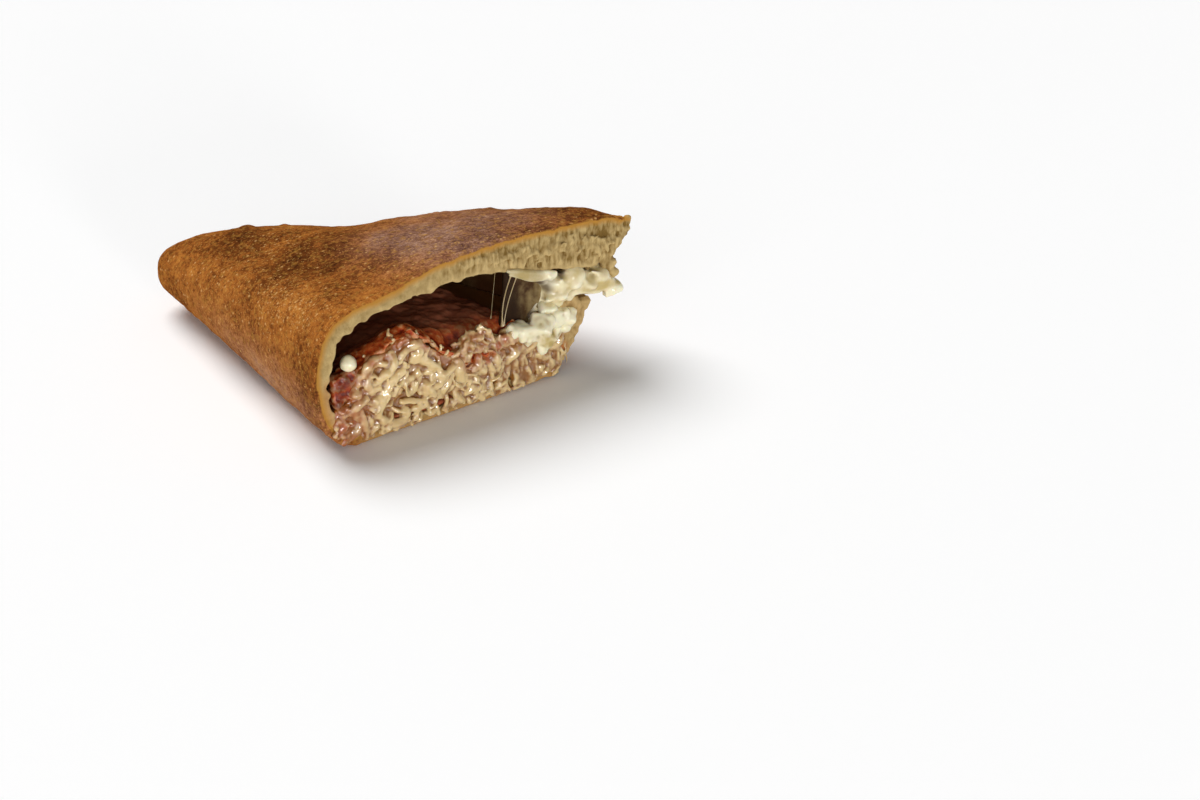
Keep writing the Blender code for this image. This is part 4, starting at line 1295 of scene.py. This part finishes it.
fineFolds = (
    (
        (-0.8, 104.5, 35.4, 0.9), (-1.6, 97.5, 34.4, 1.2), (-3.2, 91.8, 31.4, 1.1),
        (-4.6, 88.6, 27.6, 0.9),
    ),
    ((-0.4, 109.5, 31.6, 0.9), (-1, 102, 32, 1.2), (-2.4, 94.6, 30.6, 1.1), (-4, 90, 27.6, 0.9)),
    ((0.6, 104, 39.6, 0.9), (0.4, 107.5, 36, 1), (0.2, 111.5, 33, 0.9), (0.2, 117, 30.6, 0.8)),
    (
        (0.2, 110.6, 39.6, 0.8), (0.4, 114.6, 37.8, 1), (0.4, 118.6, 34.6, 0.9),
        (0.4, 121, 31.4, 0.8),
    ),
    ((-0.4, 96.4, 40.2, 1.1), (-0.4, 98.6, 36.4, 1), (-1.2, 95.6, 34, 0.9)),
    (
        (0.2, 73, 48.9, 0.6), (0.3, 78.5, 46.4, 0.9), (0.3, 83, 44.2, 1), (0.3, 86, 43.3, 1),
        (0.2, 94, 42.7, 1.1),
    ),
    (
        (0.1, 72, 50.6, 0.8), (0.1, 79, 48.4, 1.2), (0.1, 84, 46.4, 1.4), (0.1, 89, 45, 1.1),
        (0.1, 94, 43.8, 1),
    ),
    (
        (0.1, 76, 48.2, 0.9), (0.2, 80, 46.8, 1.2), (0.2, 85, 44.8, 1.3), (0.1, 89, 44, 1.1),
        (0.1, 93, 43.3, 1),
    ),
)
tongueEnd = (
    (-0.1, 118.8, 28, 2, 2.6, 1.5),
    (0.1, 122.4, 28.6, 2, 2.6, 1.4),
    (0.5, 92.4, 43, 1, 3.2, 1.7),
)
meltedCurds = (
    (0.2, 95.4, 25.2, 3.2, 4, 3.4),
    (0.4, 99.8, 23.6, 2.6, 3, 3.2),
    (0, 97.6, 20.8, 2.2, 2.6, 2.2),
    (0, 87, 23.6, 4, 4.4, 5.2),
    (0.4, 88.8, 18, 3.2, 3.4, 4.2),
    (-0.6, 83.4, 21.8, 3.4, 3.6, 3.4),
    (-1.2, 78.8, 23.2, 3.4, 4.6, 2.9),
    (-0.8, 81, 19.8, 2.8, 3, 2.8),
    (-2, 74.8, 24, 2.8, 3, 2.4),
    (-1.4, 91.4, 24.4, 3.4, 3.8, 3.4),
    (-2.6, 92, 27.8, 3, 3.8, 3),
    (-0.2, 93.2, 19, 2.6, 3, 3.2),
    (0.6, 86.6, 14, 1.8, 2.2, 1.9),
    (0.6, 14.6, 31.8, 1.3, 1.5, 1.3),
)
# a film hangs between the lid and the heap behind the tongue, as a row of upright strands; its
# dark colour is partly its own brown and partly painted shade
film = []
for k in range(12):
    top = (-7.4 + 0.2 * k, 77 + 1.4 * k, 47.5 - 0.25 * k, 1.2)
    middle = (-7.8 + 0.2 * k, 76.5 + 1.45 * k, 36, 1.1)
    film.append((top, middle, (-7.0 + 0.2 * k, 73.0 + 1.75 * k, 21.0, 1.5)))
meltedMake = {
    "shrunk": -1.3, "voxel": 0.42, "firstSmoothing": 22, "lastSmoothing": 9,
    "relief": (14, 0.55), "curdVoxel": 0.45, "curdSmoothing": 26, "curdRelief": (12, 0.45),
    "filmVoxel": 0.6, "filmSmoothing": 8, "roundCurdLower": 2.2,
}
melted = copyNode("melted_cheese", "meltedCheeseTongue")
roundOff(melted, 1)
pushOut(melted, lambda p, n: meltedMake["shrunk"])
joinAll(melted, makeStrands("folds", broadFolds, 4), makeLumps("lobes", lobes, 3, turned=0.0))
fuse(melted, meltedMake["voxel"], meltedMake["firstSmoothing"])
ends = makeLumps("ends", tongueEnd, blocky=True, turned=0.1)
joinAll(melted, makeStrands("fineFolds", fineFolds, 3), ends)
fuse(melted, meltedMake["voxel"], meltedMake["lastSmoothing"])


def meltedHeight(place, normal):
    # soft lumps, and fine folds that follow the pull
    along = Vector((place.x, 0.3 * place.y, place.z + 0.25 * place.y))
    height = 0.5 * lumps(place, 7.5, 101) + 0.22 * lumps(along, 2.8, 102)
    return height + 0.04 * lumps(place, 1.3, 107)


def filmAt(place, normal):
    # the cheese thins to a film beside the pocket, dark partly by its own brown and partly by
    # painted shade; painted shade also darkens it where the flap ends, in the olive shadow left of
    # the tongue's first lobe and behind the tongue, and the flap is tanned a little
    across = 91 - place.y - 0.35 * (33 - place.z)
    film = 0.97 * ease(0, 5, across) * max(ease(44, 40, place.z), ease(-4, -5.5, place.x))
    gap = 0.9 * ease(2.4, 1.0, math.dist(place[1:], (97.4, 42.0))) * ease(1.5, 0.0, place.x)
    shaded = 0.8 * ease(4.0, 1.5, math.dist(place[1:], (92.5, 38.0))) * ease(0.5, -2.0, place.x)
    behind = 0.85 * ease(-3.4, -4.8, place.x) * ease(106, 110, place.y)
    flap = 0.25 * ease(90, 86, place.y) * ease(42, 43, place.z) * ease(-2, 0, place.x)
    return max(film, gap, shaded, behind, flap)


def filmPale(place, normal):
    # the film is lightest where it runs into the curds, and streaked along its pull
    across = 90 - place.y - 0.4 * (33 - place.z)
    streaks = lumps(Vector((place.x, place.y, 0.25 * place.z)), 2.4, 110)
    return 0.85 * ease(-1, 9, across) + 0.5 * streaks - 0.1


def backHollow(place, normal):
    # painted shade: darker further behind the cut
    return 0.2 * ease(0, -4, place.x)


def filmHollow(place, normal):
    # painted shade: the film fades into the pocket's dark at its far edge
    fade = 0.95 * ease(84.5, 78, place.y + 0.1 * (place.z - 36))
    return max(backHollow(place, normal), fade)


def meltedPale(place, normal):
    # whitest at the tongue's end and at the flap's, pale yellow in the curds' middle, and deeper
    # in tone under the lobes before the tongue's end, which is painted shade
    white = ease(117, 120, place.y) * ease(31, 29.5, place.z)
    white += spotAt(place, 92.6, 43, 3.4, 2.0)
    yellow = spotAt(place, 88, 19, 4.0, 4.0)
    tongue = 0.25 * ease(29, 33, place.z) * ease(92, 96, place.y)
    flap = 0.8 * ease(90, 85, place.y) * ease(42, 43, place.z) * ease(-2, 0, place.x)
    under = 0.6 * ease(108, 114, place.y) * ease(36, 33, place.z) * ease(30, 32, place.z)
    return 0.05 + tongue + flap + under + 0.5 * lumps(place, 6, 106) - 0.7 * white + 0.6 * yellow


pushOut(melted, meltedHeight)
paint(melted, pale=meltedPale, tint=0.0, hollow=filmAt)
curds = makeLumps("curdsAtSeam", meltedCurds, blocky=True, turned=0.7)
fuse(curds, meltedMake["curdVoxel"], meltedMake["curdSmoothing"])
pushOut(curds, lambda p, n: 0.5 + 0.8 * lumps(p, 4.2, 103) + 0.3 * lumps(p, 2.0, 109))
paint(curds, pale=meltedPale, tint=0.0, hollow=backHollow)
roundCurd = copyNode("cheese_curd", "roundCurd")
roundOff(roundCurd, 2)
# the photo shows this curd a little lower than the solid
roundCurd.data.transform(Matrix.Translation((0, 0, -meltedMake["roundCurdLower"] * mm)))
pushOut(roundCurd, lambda p, n: 0.25 * lumps(p, 3, 105))
paint(roundCurd, pale=meltedPale, tint=0.0, hollow=backHollow)
filmPiece = makeStrands("cheeseFilm", film, 3)
fuse(filmPiece, meltedMake["filmVoxel"], meltedMake["filmSmoothing"])
pushOut(filmPiece, lambda p, n: 0.5 * lumps(Vector((p.x, p.y, 0.3 * p.z)), 3.0, 108))
paint(filmPiece, pale=filmPale, tint=0.0, hollow=filmHollow)
paintRelief(melted, *meltedMake["relief"])
paintRelief(curds, *meltedMake["curdRelief"])
finishPiece(melted, meltedCheese, "melted_cheese", "melted_cheese")
finishPiece(curds, meltedCheese, "melted_cheese")
finishPiece(filmPiece, cheeseFilm, "melted_cheese")
finishPiece(roundCurd, meltedCheese, "melted_cheese", "cheese_curd")

# strings drawn from the sauce to the flap, each a little bowed and thickest at its ends
strings = {
    "cheese_string_1": ((-0.6, 69.9, 28.4), (-0.8, 71, 38.5), (-0.8, 75.2, 49.4), 0.2),
    "cheese_string_2": ((-1.2, 70.9, 28.2), (-1.4, 73.6, 37.6), (-1.2, 78.2, 48.2), 0.18),
    "cheese_string_3": ((-5, 67.8, 30.5), (-5.2, 69, 38), (-5.4, 70.8, 50.5), 0.07),
}


def makeString(name, foot, middle, head, half):
    foot, middle, head = Vector(foot), Vector(middle), Vector(head)
    strand = []
    for k in range(13):
        share = k / 12
        place = foot.lerp(head, share) + (middle - (foot + head) / 2) * bulge(share)
        strand.append((*place, half * (1 + 2.5 * abs(2 * share - 1) ** 8)))
    piece = makeStrands(name, [strand], 3)
    # painted shade darkens the strings a little in the pocket's mouth
    paint(piece, pale=0.5, tint=0.1, hollow=0.4)
    return piece


for number, (node, shape) in enumerate(strings.items(), 1):
    string = makeString(f"drawnString{number}", *shape)
    finishPiece(string, meltedCheese, "melted_cheese", node)
